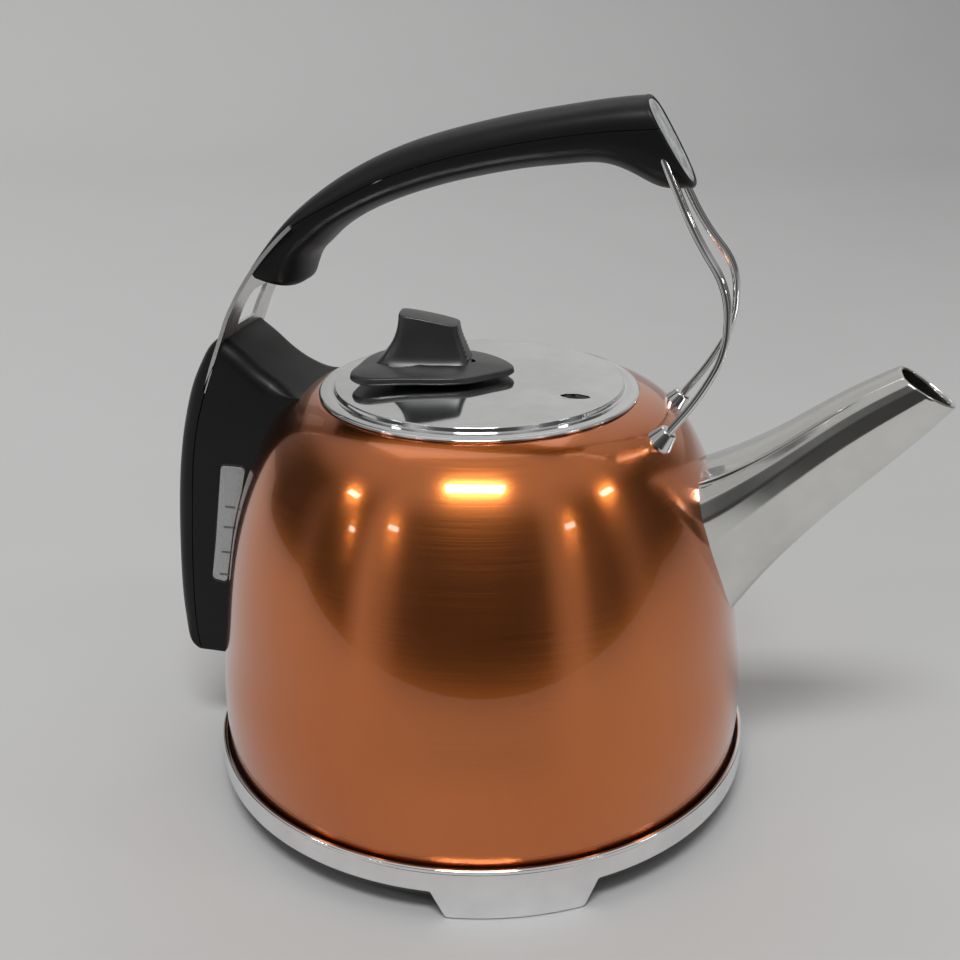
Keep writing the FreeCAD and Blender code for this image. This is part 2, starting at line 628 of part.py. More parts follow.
def switch_parts():
    x, z = SWITCH_X, SWITCH_Z
    # rocker: paddle with a dished face, its hub bored for the pin
    prof = [(x - 3.4, z - 4.2), (x + 1.6, z - 2.6), (x + 3.0, z), (x + 1.6, z + 2.6), (x - 3.4, z + 4.2),
            (x - 5.4, z + 9.4), (x - 9.2, z + 9.4), (x - 8.6, z + 5.0), (x - 8.2, z), (x - 8.6, z - 5.0),
            (x - 9.2, z - 9.4), (x - 5.4, z - 9.4)]
    rocker = xz_prism(prof, 7.6)
    rocker = rocker.cut(cyl(1.54, 40, (x, -20, z), (0, 1, 0)))
    rocker.rotate(V(x, 0, z), V(0, 1, 0), 5.0)
    save("switch_rocker", rocker)
    pin = cyl(1.5, 21.6, (x, -10.8, z), (0, 1, 0))
    save("switch_pin", pin)
    frame = box(x - 2.6, x + 6.4, -11.6, 11.6, z - 13.0, z + 13.0)
    frame = frame.cut(box(x - 3, x + 7, -8.2, 8.2, z - 11.2, z + 11.2))
    frame = frame.cut(cyl(1.5, 40, (x, -20, z), (0, 1, 0)))
    save("switch_frame", frame)


# ---------------------------------------------------------------- handle
CENTRE = [(84.0, 247.6), (72.0, 247.3), (62.0, 247.0), (53.0, 246.5), (44.1, 245.7), (31.1, 244.0),
          (17.9, 241.8), (4.5, 239.0), (-12.8, 234.6), (-30.6, 228.4), (-47.6, 220.2), (-55.6, 216.0),
          (-61.6, 212.3), (-68.7, 205.9), (-74.4, 199.7), (-79.6, 193.0), (-84.2, 186.0)]
SECT = [(9.4, 20.0, 12.6), (9.5, 19.9, 12.8), (9.6, 19.4, 13.0), (9.5, 15.0, 13.1), (9.2, 11.2, 13.1),
        (8.8, 9.9, 13.2), (8.6, 9.3, 13.3), (8.4, 8.9, 13.5), (8.2, 8.6, 13.8), (7.8, 8.3, 14.5),
        (6.9, 8.2, 16.2), (5.7, 9.4, 17.4), (4.6, 10.6, 18.4), (3.7, 11.2, 19.2), (3.0, 14.2, 19.4),
        (2.6, 15.0, 19.2), (2.4, 13.6, 18.6)]
END_TOP = (57.3, 256.8)
END_LOW = (74.6, 228.0)
HEEL_A = (-84.0, 195.8)
HEEL_B = (-62.0, 187.7)


def handle_loft(off):
    cc = spline([(x, 0, z) for x, z in CENTRE])
    wires = []
    for i, ((x, z), (a, b, w)) in enumerate(zip(CENTRE, SECT)):
        u = cc.parameter(V(x, 0, z))
        t = V(*cc.tangent(u)[0])
        up = V(t.z, 0, -t.x)
        if up.z < 0:
            up = up * -1
        up.normalize()
        pts = []
        m = 20
        for k in range(m):
            th = 2 * math.pi * k / m
            cs, sn = math.cos(th), math.sin(th)
            e = 2 / 2.35
            y = (w - off) * math.copysign(abs(cs) ** e, cs)
            hgt = ((a if sn > 0 else b) - off) * math.copysign(abs(sn) ** e, sn)
            pts.append(V(x, 0, z) + up * hgt + V(0, y, 0))
        c = Part.BSplineCurve()
        c.interpolate(Points=pts, PeriodicFlag=True)
        wires.append(Part.Wire([c.toShape()]))
    return Part.makeLoft(wires, True, False)


def strip(points, thickness, half):
    """Bent sheet: the XZ line given, thickened both ways, as wide as 2 * half."""
    c = spline([(x, -half, z) for x, z in points])
    n = 24
    a, b = [], []
    for i in range(n + 1):
        u = c.FirstParameter + (c.LastParameter - c.FirstParameter) * i / n
        p, t = c.value(u), V(*c.tangent(u)[0])
        nr = V(t.z, 0, -t.x)
        nr.normalize()
        a.append(p + nr * (thickness / 2))
        b.append(p - nr * (thickness / 2))
    ca = spline([(p.x, p.y, p.z) for p in a[::2]])
    cb = spline([(p.x, p.y, p.z) for p in b[::2]])
    e = [ca.toShape(), cb.toShape(), line(tuple(a[0]), tuple(b[0])), line(tuple(a[-1]), tuple(b[-1]))]
    return Part.Face(Part.Wire(Part.__sortEdges__(e))).extrude(V(0, 2 * half, 0))


def bracket():
    plate = strip(PLATE_PATH, PLATE_T, PLATE_HALF)
    # slot between handle and housing: half-width 8, arched at the top
    slot = box(-110, -60, -8.0, 8.0, 173.4, 181.0)
    slot = slot.fuse(cyl(8.0, 60, (-115, 0, 181.0), (1, 0, 0)).common(box(-110, -60, -8, 8, 181.0, 186.4)))
    plate = plate.cut(slot)
    # waist below the handle narrows the sheet a little towards the housing
    for p in ((-68.7, 206.0), (-97.6, 156.0)):
        a = (-0.727, 0, 0.687) if p[0] > -80 else (-0.92, 0, 0.39)
        plate = plate.cut(cyl(1.6, 20, (p[0] - a[0] * 10, 0, p[1] - a[2] * 10), a))
    return largest(plate)


def rods():
    out = []
    for s in (1, -1):
        for k in (-0.5, 0.5):
            pts = [(x, s * (y + k * ROD_PITCH), z) for x, y, z in ROD_PATH]
            out.append(rod(pts, ROD_D))
    return out


def handle(plate, bars):
    full = handle_loft(0.0)
    inner = handle_loft(2.4)
    cap_room = handle_loft(1.5)
    # slanted front end
    dx, dz = END_LOW[0] - END_TOP[0], END_LOW[1] - END_TOP[1]
    n = math.hypot(dx, dz)
    dx, dz = dx / n, dz / n
    nx, nz = -dz, dx          # outward normal of the end face
    a = (END_TOP[0] - 30 * dx, END_TOP[1] - 30 * dz)
    b = (END_LOW[0] + 30 * dx, END_LOW[1] + 30 * dz)

    def front_of(d):
        return xz_prism([(a[0] + nx * d, a[1] + nz * d), (b[0] + nx * d, b[1] + nz * d),
                         (b[0] + 60, b[1] + 20), (a[0] + 60, a[1] + 20)], 40)
    # slanted heel
    hx, hz = HEEL_B[0] - HEEL_A[0], HEEL_B[1] - HEEL_A[1]
    m = math.hypot(hx, hz)
    hx, hz = hx / m, hz / m
    ha = (HEEL_A[0] - 30 * hx, HEEL_A[1] - 30 * hz)
    hb = (HEEL_B[0] + 20 * hx, HEEL_B[1] + 20 * hz)
    up = (-hz, hx)

    def below(d):
        return xz_prism([(ha[0] + up[0] * d, ha[1] + up[1] * d), (hb[0] + up[0] * d, hb[1] + up[1] * d),
                         (hb[0], 120), (ha[0], 120)], 40)
    full = full.cut(front_of(0)).cut(below(0))
    inner = inner.cut(front_of(-5.0)).cut(below(2.4))
    cap = cap_room.cut(front_of(-0.5)).common(front_of(-3.0))
    tube = full.cut(inner).cut(cap_room.common(front_of(-3.0)))
    tube = largest(tube)
    # cap: low oval plug
    cap = largest(cap.cut(Part.makeCompound(bars)))
    save("handle_end_cap", cap)

    # parting surface through the centre line, following the plate at the rear
    pc = [(96, 247.8)] + CENTRE + [(-88.5, 178.0)]
    cc = spline([(x, -40, z) for x, z in pc])
    e = [cc.toShape(), line((-88.5, -40, 178.0), (-120, -40, 178.0)), line((-120, -40, 178.0), (-120, -40, 300)),
         line((-120, -40, 300), (96, -40, 300)), line((96, -40, 300), (96, -40, 247.8))]
    over = Part.Face(Part.Wire(Part.__sortEdges__(e))).extrude(V(0, 80, 0))
    upper = tube.common(over)
    lower = tube.cut(over)

    # ribs between the halves carry the screws
    at = [(-22.0, 231.7, 0.30), (20.0, 242.2, 0.17)]
    pillars_u, pillars_l, screws = [], [], []
    for x, z, sl in at:
        c = cyl(3.6, 40, (x + sl * 20, 0, z - 20), (-sl, 0, 1))
        body = c.common(full)
        pillars_u.append(body.common(over))
        pillars_l.append(body.cut(over))
        screws.append(screw((x + sl * 4.0, 0, z - 4.0), (-sl, 0, 1), 2.8, 1.6, 1.4, 9.5))
    # the heel screw passes through the plate
    hxs = (-68.7 + 0.727 * 4.0, 206.0 - 0.687 * 4.0)
    c = cyl(3.8, 40, (-68.7 + 0.727 * 20, 0, 206.0 - 0.687 * 20), (-0.727, 0, 0.687))
    body = c.common(full)
    pillars_u.append(body.common(over))
    pillars_l.append(body.cut(over))
    screws.append(screw((hxs[0], 0, hxs[1]), (-0.727, 0, 0.687), 2.8, 1.6, 1.5, 8.6))
    for p in pillars_u:
        upper = upper.fuse(p)
    for p in pillars_l:
        lower = lower.fuse(p)
    holes = []
    for x, z, sl in at:
        holes.append(hole_for((x + sl * 4.0, 0, z - 4.0), (-sl, 0, 1), 2.8, 1.6, 1.4, 9.5, back=20))
    holes.append(hole_for((hxs[0], 0, hxs[1]), (-0.727, 0, 0.687), 2.8, 1.6, 1.5, 8.6, back=24))
    for hl in holes:
        upper = upper.cut(hl)
        lower = lower.cut(hl)
    upper = upper.cut(plate)
    lower = lower.cut(plate)
    # clamp block in the nose holds the tops of the rods
    block = box(55.5, 67.5, -10.6, 10.6, 231.6, 242.6)
    inner_nose = handle_loft(2.9).cut(front_of(-6.0))
    block = block.common(inner_nose)
    bar_set = Part.makeCompound(bars)
    block = block.cut(bar_set)
    save("rod_clamp_block", largest(block))
    lower = lower.cut(bar_set)
    upper = upper.cut(bar_set)
    save("handle_upper_shell", largest(clean(upper)))
    save("handle_lower_shell", largest(clean(lower)))
    save("handle_screws", Part.makeCompound(screws))


def rod_feet(outer_body, bars, shell):
    d = V(ROD_PATH[-2][0] - ROD_PATH[-1][0], 0, ROD_PATH[-2][2] - ROD_PATH[-1][2])
    d.normalize()
    feet, nuts = [], []
    bar_set = Part.makeCompound(bars)
    for s in (1, -1):
        p = V(ROD_PATH[-1][0], s * ROD_PATH[-1][1], ROD_PATH[-1][2])
        foot = Part.makeCone(4.9, 3.3, 4.2, p - d * 0.6, d).fuse(
            Part.makeCone(3.3, 3.0, 1.5, p + d * 3.6, d)).fuse(
            Part.makeCylinder(4.9, 2.4, p - d * 3.0, d))
        foot = foot.cut(outer_body)
        stud = Part.makeCylinder(2.2, 9.0, p - d * 8.6, d)
        foot = foot.fuse(stud).cut(bar_set)
        foot = largest(foot)
        feet.append(foot)
        shell = shell.cut(Part.makeCylinder(2.2, 14.0, p - d * 8.6, d))
        hexa = []
        side = d.cross(V(0, 1, 0))
        for k in range(6):
            an = math.radians(60 * k)
            hexa.append(p - d * 7.6 + (V(0, 1, 0) * math.cos(an) + side * math.sin(an)) * 4.4)
        nut = Part.Face(Part.makePolygon(hexa + [hexa[0]])).extrude(d * 3.2)
        nut = nut.cut(Part.makeCylinder(2.2, 20, p - d * 12, d))
        nuts.append(nut)
    save("rod_feet", Part.makeCompound(feet))
    nuts = [largest(n.cut(shell)) for n in nuts]
    save("rod_nuts", Part.makeCompound(nuts))
    return shell


# ---------------------------------------------------------------- lid
def dome_z(r):
    """Height of the lid's outer face inside the step."""
    return LID_STEP + (LID_DOME - LID_STEP) * (1 - (r / LID_STEP_R) ** 2)


def lid():
    # chrome lid: rolled rim, a step and a shallow dome
    dome_pts = [(r, dome_z(r)) for r in (LID_STEP_R, 50.5, 46.0, 40.0, 30.0, 20.0, 10.0, 0.001)]
    outer = [(57.0, LID_RIM_Z - 0.45), (57.8, LID_RIM_Z - 0.3), (LID_R, LID_RIM_Z + 0.2), (57.8, LID_RIM_Z + 0.75),
             (56.8, LID_RIM_Z + 1.25), (55.0, LID_RIM_Z + 1.6), (53.2, LID_RIM_Z + 1.75), (52.5, LID_RIM_Z + 1.8)]
    inner = [(r, z - LID_T) for r, z in reversed(dome_pts[1:])] + [(52.0, LID_RIM_Z + 1.0), (55.0, LID_RIM_Z + 0.7),
                                                              (56.6, LID_RIM_Z + 0.3), (57.0, LID_RIM_Z - 0.1), (56.5, LID_RIM_Z - 0.3)]
    shell = revolve_poly(outer + dome_pts + inner)
    ca, sa = math.cos(math.radians(KNOB_ANGLE)), math.sin(math.radians(KNOB_ANGLE))

    def along(u, v):
        return KNOB_C[0] + u * ca - v * sa, KNOB_C[1] + u * sa + v * ca
    # vent: almond hole, long axis across the radius
    va = math.degrees(math.atan2(VENT_C[1], VENT_C[0]))
    almond = []
    for k in range(24):
        t = 2 * math.pi * k / 24
        u, v = 6.0 * math.cos(t), 3.4 * math.sin(t) * (1 - 0.25 * abs(math.cos(t)))
        an = math.radians(va + 62)
        almond.append(V(VENT_C[0] + u * math.cos(an) - v * math.sin(an),
                        VENT_C[1] + u * math.sin(an) + v * math.cos(an), 150))
    ac = Part.BSplineCurve()
    ac.interpolate(Points=almond, PeriodicFlag=True)
    tool = Part.Face(Part.Wire([ac.toShape()])).extrude(V(0, 0, 14))
    shell = shell.cut(tool)
    post_holes = [along(u, 0) for u in (-6.0, 10.0)]
    for x, y in post_holes:
        shell = shell.cut(cyl(2.1, 30, (x, y, 140)))
    save("lid_shell", shell)

    # liner: pan that plugs the mouth, spun to the underside of the shell
    lin = revolve_poly([(0.001, LINER_LOW), (LINER_R, LINER_LOW), (LINER_R, LINER_LOW + 1.6), (52.6, LINER_LOW + 2.0),
                        (52.6, LINER_LOW + 5.0), (LINER_R, LINER_LOW + 5.4), (LINER_R, LID_RIM_Z - 0.1),
                        (55.8, LID_RIM_Z - 0.1), (55.8, LID_RIM_Z + 0.5), (52.9, LID_RIM_Z + 0.9),
                        (52.8, LINER_LOW + 5.8),
                        (51.8, LINER_LOW + 5.4), (51.8, LINER_LOW + 1.4), (51.2, LINER_LOW + 0.9),
                        (0.001, LINER_LOW + 0.9)])
    lin = lin.cut(shell)
    for x, y in post_holes:
        lin = lin.cut(cyl(1.3, 30, (x, y, 140)))
    for k in range(6):
        t = 2 * math.pi * k / 6
        lin = lin.cut(cyl(1.4, 10, (VENT_C[0] * 0.86 + 4.5 * math.cos(t), VENT_C[1] * 0.86 + 4.5 * math.sin(t), 140)))
    save("lid_liner", largest(lin))

    seal = revolve_poly([(52.6, LINER_LOW + 2.0), (54.4, LINER_LOW + 2.0), (55.05, LINER_LOW + 2.5),
                         (54.2, LINER_LOW + 3.3), (54.2, LINER_LOW + 3.9), (55.05, LINER_LOW + 4.4),
                         (54.4, LINER_LOW + 5.0), (52.6, LINER_LOW + 5.0)])
    save("lid_seal", seal)

    # whistle: cup under the vent with a slotted disc and a rivet
    zc = dome_z(math.hypot(*VENT_C)) - LID_T
    x, y = VENT_C
    cup = cyl(7.6, 6.2, (x, y, zc - 7.4)).cut(cyl(6.9, 5.4, (x, y, zc - 6.6)))
    flange = cyl(8.6, 1.2, (x, y, zc - 1.6)).cut(cyl(6.9, 3, (x, y, zc - 3)))
    cup = cup.fuse(flange).cut(cyl(1.2, 10, (x, y, zc - 10)))
    cup = cup.cut(shell)
    cup = largest(cup).cut(NODES["lid_liner"])
    save("whistle_cup", largest(cup))
    disc = cyl(6.8, 0.6, (x, y, zc - 3.6)).cut(cyl(1.1, 3, (x, y, zc - 5))).fuse(
        cyl(1.9, 1.2, (x + 1.6, y + 1.4, zc - 3.0)))
    disc = disc.cut(cyl(0.8, 3, (x - 3.6, y, zc - 5))).cut(cyl(0.8, 3, (x + 3.4, y - 3.0, zc - 5)))
    save("whistle_disc", largest(disc))

    # knob: iron-shaped flange on a low pedestal, with a flared grip fin
    def grown(d, z):
        cx = sum(p[0] for p in KNOB_OUTLINE) / len(KNOB_OUTLINE)
        cy = sum(p[1] for p in KNOB_OUTLINE) / len(KNOB_OUTLINE)
        pts = []
        for px, py in KNOB_OUTLINE:
            r = math.hypot(px - cx, py - cy)
            k = (r + d) / r
            pts.append(V(cx + (px - cx) * k, cy + (py - cy) * k, z))
        c = Part.BSplineCurve()
        c.interpolate(Points=pts, PeriodicFlag=True)
        return Part.Wire([c.toShape()])
    z0 = KNOB_FLANGE_Z
    flange = Part.makeLoft([grown(-0.9, z0), grown(0.0, z0 + 0.7), grown(-0.1, z0 + 1.8), grown(-1.2, z0 + 2.7),
                            grown(-5.0, z0 + 3.5), grown(-10.5, z0 + 4.1)], True, True)

    def fin_pts(l0, l1, w, z):
        """Rounded rectangle from u = l0 to l1, width w."""
        pts = []
        m = 24
        c, h = (l0 + l1) / 2, (l1 - l0) / 2
        for k in range(m):
            t = 2 * math.pi * k / m
            cs, sn = math.cos(t), math.sin(t)
            u = c + h * math.copysign(abs(cs) ** 0.42, cs)
            v = w / 2 * math.copysign(abs(sn) ** 0.42, sn)
            px, py = along(u, v)
            pts.append(V(px, py, z))
        cv = Part.BSplineCurve()
        cv.interpolate(Points=pts, PeriodicFlag=True)
        return Part.Wire([cv.toShape()])
    fin = Part.makeLoft([fin_pts(-17.8, 17.8, 19.6, z0 + 3.0), fin_pts(-16.2, 17.0, 17.2, z0 + 4.8),
                         fin_pts(-13.4, 15.7, 14.4, z0 + 7.8), fin_pts(-10.9, 14.2, 12.6, z0 + 11.8),
                         fin_pts(-9.4, 13.1, 12.0, z0 + 15.8), fin_pts(-8.8, 12.5, 12.2, z0 + 19.0),
                         fin_pts(-8.5, 12.2, 12.6, z0 + 22.4)], True, False)
    # top of the fin: a shallow crown that falls towards the front
    crown = []
    for k in range(9):
        u = -14.0 + 32.0 * k / 8
        crown.append((u, 0, 181.0 - 0.10 * (u + 9.0) - 0.0042 * (u + 9.0) ** 2))
    cc = spline([(u, -20, z) for u, _, z in crown])
    ce = [cc.toShape(), line((18.0, -20, crown[-1][2]), (18.0, -20, 195.0)), line((18.0, -20, 195.0), (-14.0, -20, 195.0)),
          line((-14.0, -20, 195.0), (-14.0, -20, crown[0][2]))]
    above = Part.Face(Part.Wire(Part.__sortEdges__(ce))).extrude(V(0, 40, 0))
    above.rotate(V(0, 0, 0), V(0, 0, 1), KNOB_ANGLE)
    above.translate(V(KNOB_C[0], KNOB_C[1], 0))
    fin = fin.cut(above)
    foot = []
    for k in range(16):
        t = 2 * math.pi * k / 16
        foot.append(along(2.0 + 15.5 * math.cos(t), 6.4 * math.sin(t)))
    fc = Part.BSplineCurve()
    fc.interpolate(Points=[V(px, py, 150.0) for px, py in foot], PeriodicFlag=True)
    foot = Part.Face(Part.Wire([fc.toShape()])).extrude(V(0, 0, z0 + 0.6 - 150.0))
    over_dome = revolve_poly([(0.001, dome_z(0.0)), (10.0, dome_z(10.0)), (20.0, dome_z(20.0)), (30.0, dome_z(30.0)),
                              (40.0, dome_z(40.0)), (40.0, 170.0), (0.001, 170.0)])
    foot = foot.common(over_dome)
    flange = flange.fuse(foot)
    knob = flange.fuse(fin)
    for x, y in post_holes:
        zl = dome_z(math.hypot(x, y))
        knob = knob.fuse(cyl(2.1, 8.0, (x, y, zl - 4.0)))
    knob = knob.cut(shell)
    screws = []
    for x, y in post_holes:
        screws.append(screw((x, y, LINER_LOW + 0.9), (0, 0, 1), 2.4, 1.2, 1.2, 16.0))
    knob = knob.cut(Part.makeCompound(screws))
    save("lid_knob", largest(clean(knob)))
    heads = []
    for x, y in post_holes:
        s = screw((x, y, LINER_LOW), (0, 0, 1), 2.4, 1.2, 1.2, 16.9)
        heads.append(s)
    knob2 = NODES["lid_knob"].cut(Part.makeCompound(heads))
    save("lid_knob", largest(knob2))
    ln = NODES["lid_liner"].cut(Part.makeCompound(heads))
    save("lid_liner", largest(ln))
    save("knob_screws", Part.makeCompound(heads))


# ---------------------------------------------------------------- build
base()
outer_body, shell = body()
kettle_floor()
plate = bracket()
save("handle_bracket", plate)
bars = rods()
save("front_rods_left", Part.makeCompound(bars[:2]))
save("front_rods_right", Part.makeCompound(bars[2:]))
shell = rod_feet(outer_body, bars, shell)
housing(outer_body, plate)
switch_parts()
handle(plate, bars)
lid()
# steam tube from the top of the vessel to the steam switch inside the housing
shell = shell.cut(cyl(4.4, 40, (-56.0, 0, 142.0), (-1, 0, 0)))
tube = cyl(4.4, 21.0, (-73.0, 0, 142.0), (-1, 0, 0)).cut(cyl(3.4, 60, (-50.0, 0, 142.0), (-1, 0, 0)))
save("steam_tube", tube)
steam = box(-98.4, -94.0, -9.0, 9.0, 136.6, 147.4).cut(cyl(3.4, 3.0, (-93.0, 0, 142.0), (-1, 0, 0)))
steam = steam.fuse(box(-101.0, -98.4, -3.0, 3.0, 138.0, 141.0)).cut(NODES["housing_body"]).cut(plate)
save("steam_switch", largest(steam))
shell = clean(shell)
save("body_shell", largest(shell))
allx = Part.makeCompound(list(NODES.values())).BoundBox
print("box", [round(v, 1) for v in (allx.XMin, allx.XMax, allx.YMin, allx.YMax, allx.ZMin, allx.ZMax)], len(NODES), "nodes")
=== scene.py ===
import bpy
import bmesh
import json
import math
import numpy as np
from mathutils import Matrix, Vector


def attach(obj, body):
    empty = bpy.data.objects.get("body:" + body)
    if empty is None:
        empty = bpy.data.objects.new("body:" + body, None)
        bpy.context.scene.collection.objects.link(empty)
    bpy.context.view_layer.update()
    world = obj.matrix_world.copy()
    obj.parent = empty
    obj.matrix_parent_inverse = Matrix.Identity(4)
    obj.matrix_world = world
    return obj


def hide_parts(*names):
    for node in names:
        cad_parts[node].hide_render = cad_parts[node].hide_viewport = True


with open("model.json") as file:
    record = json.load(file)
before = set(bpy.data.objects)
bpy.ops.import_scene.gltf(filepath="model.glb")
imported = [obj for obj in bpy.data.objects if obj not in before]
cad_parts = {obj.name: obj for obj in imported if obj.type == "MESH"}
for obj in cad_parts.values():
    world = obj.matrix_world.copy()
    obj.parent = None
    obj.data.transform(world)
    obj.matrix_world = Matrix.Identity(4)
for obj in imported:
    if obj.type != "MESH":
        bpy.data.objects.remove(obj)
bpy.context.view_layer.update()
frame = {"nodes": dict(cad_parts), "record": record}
NODES = frame["nodes"]
RECORD = frame["record"]
SLOT_OF = {s["node"]: s["material_slot"] for s in RECORD["subparts"]}
MM = 0.001


# ------------------------------------------------------------------ geometry helpers (millimetres)
def cubic(ts, ys):
    ts = np.asarray(ts, float)
    ys = np.asarray(ys, float)
    if ys.ndim == 1:
        ys = ys[:, None]
    n = len(ts)
    h = np.diff(ts)
    A = np.zeros((n, n))
    r = np.zeros((n, ys.shape[1]))
    A[0, 0] = A[-1, -1] = 1
    for i in range(1, n - 1):
        A[i, i - 1] = h[i - 1]
        A[i, i] = 2 * (h[i - 1] + h[i])
        A[i, i + 1] = h[i]
        r[i] = 6 * ((ys[i + 1] - ys[i]) / h[i] - (ys[i] - ys[i - 1]) / h[i - 1])
    m = np.linalg.solve(A, r)

    def f(t):
        t = np.atleast_1d(np.asarray(t, float))
        i = np.clip(np.searchsorted(ts, t) - 1, 0, n - 2)
        d = (t - ts[i])[:, None]
        hh = h[i][:, None]
        b = (ys[i + 1] - ys[i]) / hh - hh * (2 * m[i] + m[i + 1]) / 6
        return ys[i] + d * (b + d * (m[i] / 2 + d * (m[i + 1] - m[i]) / (6 * hh)))
    return f


def chord(P):
    return np.r_[0, np.cumsum(np.linalg.norm(np.diff(np.asarray(P, float), axis=0), axis=1))]


def curve(points, n):
    P = np.asarray(points, float)
    t = chord(P)
    return cubic(t, P)(np.linspace(0, t[-1], n))


def loop_curve(points, n):
    P = np.asarray(points, float)
    k = len(P)
    Q = np.vstack([P, P, P, P[:1]])
    t = chord(Q)
    return cubic(t, Q)(np.linspace(t[k], t[2 * k], n, endpoint=False))


def fillet(points, radii, n=6, closed=False):
    P = [np.array(p, float) for p in points]
    N = len(P)
    out = []
    for i in range(N):
        r = radii[i] if hasattr(radii, "__len__") else radii
        if (not closed and i in (0, N - 1)) or r <= 0:
            out.append(P[i])
            continue
        a, b, c = P[i - 1], P[i], P[(i + 1) % N]
        u, v = a - b, c - b
        lu, lv = np.linalg.norm(u), np.linalg.norm(v)
        u, v = u / lu, v / lv
        ang = math.acos(max(-1, min(1, float(u @ v))))
        if ang > 3.1:
            out.append(b)
            continue
        d = min(r / math.tan(ang / 2), 0.48 * lu, 0.48 * lv)
        rr = d * math.tan(ang / 2)
        s, e = b + u * d, b + v * d
        bis = (u + v) / np.linalg.norm(u + v)
        cen = b + bis * (rr / math.sin(ang / 2))
        p0, p1 = (s - cen) / rr, (e - cen) / rr
        om = math.acos(max(-1, min(1, float(p0 @ p1))))
        for k in range(n + 1):
            w = k / n
            out.append(cen + rr * (math.sin((1 - w) * om) * p0 + math.sin(w * om) * p1) / math.sin(om))
    return np.array(out)


class Build:
    """Collects quads and fans in millimetres, then makes one welded, smooth-shaded piece."""

    def __init__(self):
        self.v, self.f, self.m, self.n = [], [], [], 0

    def grid(self, P, wu=False, wv=False, keep=None, mat=0):
        P = np.asarray(P, float)
        a, b = P.shape[:2]
        self.v.append(P.reshape(-1, 3))
        ia = np.arange(a if wu else a - 1)
        ib = np.arange(b if wv else b - 1)
        I, J = np.meshgrid(ia, ib, indexing="ij")
        I2, J2 = (I + 1) % a, (J + 1) % b
        F = np.stack([I * b + J, I2 * b + J, I2 * b + J2, I * b + J2], -1).reshape(-1, 4)
        if keep is not None:
            C = P.reshape(-1, 3)[F].mean(1)
            F = F[keep(C)]
        self.f.append(F + self.n)
        self.m.append(np.full(len(F), mat))
        self.n += a * b
        return self

    def fan(self, loop, centre, mat=0):
        loop = np.asarray(loop, float)
        k = len(loop)
        self.v.append(np.vstack([loop, np.asarray(centre, float)[None]]))
        i = np.arange(k)
        F = np.stack([i, (i + 1) % k, np.full(k, k), np.full(k, k)], -1)
        self.f.append(F + self.n)
        self.m.append(np.full(k, mat))
        self.n += k + 1
        return self

    def make(self, name, body, slots, replaces=(), sharp=38, weld=0.004):
        V = np.vstack(self.v) * MM
        F = np.vstack(self.f)
        M = np.concatenate(self.m)
        me = bpy.data.meshes.new(name)
        bm = bmesh.new()
        vs = [bm.verts.new(p) for p in V]
        for q, mi in zip(F, M):
            ids = []
            for t in q:
                if int(t) not in ids:
                    ids.append(int(t))
            if len(ids) < 3:
                continue
            try:
                face = bm.faces.new([vs[t] for t in ids])
                face.material_index = int(mi)
                face.smooth = True
            except ValueError:
                pass
        bmesh.ops.remove_doubles(bm, verts=bm.verts[:], dist=weld * MM)
        bmesh.ops.dissolve_degenerate(bm, edges=bm.edges[:], dist=1e-7)
        loose = [v for v in bm.verts if not v.link_faces]
        bmesh.ops.delete(bm, geom=loose, context="VERTS")
        bmesh.ops.recalc_face_normals(bm, faces=bm.faces[:])
        bm.to_mesh(me)
        bm.free()
        me.set_sharp_from_angle(angle=math.radians(sharp))
        ob = bpy.data.objects.new(name, me)
        bpy.context.scene.collection.objects.link(ob)
        for s in slots:
            me.materials.append(MAT[s])
        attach(ob, body)
        if replaces:
            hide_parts(*replaces)
        return ob


def revolve(profile, n=360, z_axis=True):
    prof = np.asarray(profile, float)
    t = np.linspace(0, 2 * math.pi, n, endpoint=False)
    P = np.zeros((n, len(prof), 3))
    P[:, :, 0] = np.cos(t)[:, None] * prof[None, :, 0]
    P[:, :, 1] = np.sin(t)[:, None] * prof[None, :, 0]
    P[:, :, 2] = prof[None, :, 1]
    return P


def placed(P, at, axis):
    """Turns a grid made round +Z so that it stands at 'at' along 'axis'."""
    R = np.array(Vector((0, 0, 1)).rotation_difference(Vector(axis)).to_matrix())
    return np.asarray(P) @ R.T + np.asarray(at, float)


def tube(path, r, n=28):
    """A round rod along a dense 3-D path, with parallel-carried rings; the ends are left open."""
    P = np.asarray(path, float)
    T = np.gradient(P, axis=0)
    T /= np.linalg.norm(T, axis=1)[:, None]
    u = np.cross(T[0], [0, 1, 0.1])
    u /= np.linalg.norm(u)
    rings = []
    for p, t in zip(P, T):
        u = u - t * (u @ t)
        u /= np.linalg.norm(u)
        w = np.cross(t, u)
        a = np.linspace(0, 2 * math.pi, n, endpoint=False)
        rings.append(p + r * (np.cos(a)[:, None] * u + np.sin(a)[:, None] * w))
    return np.array(rings)


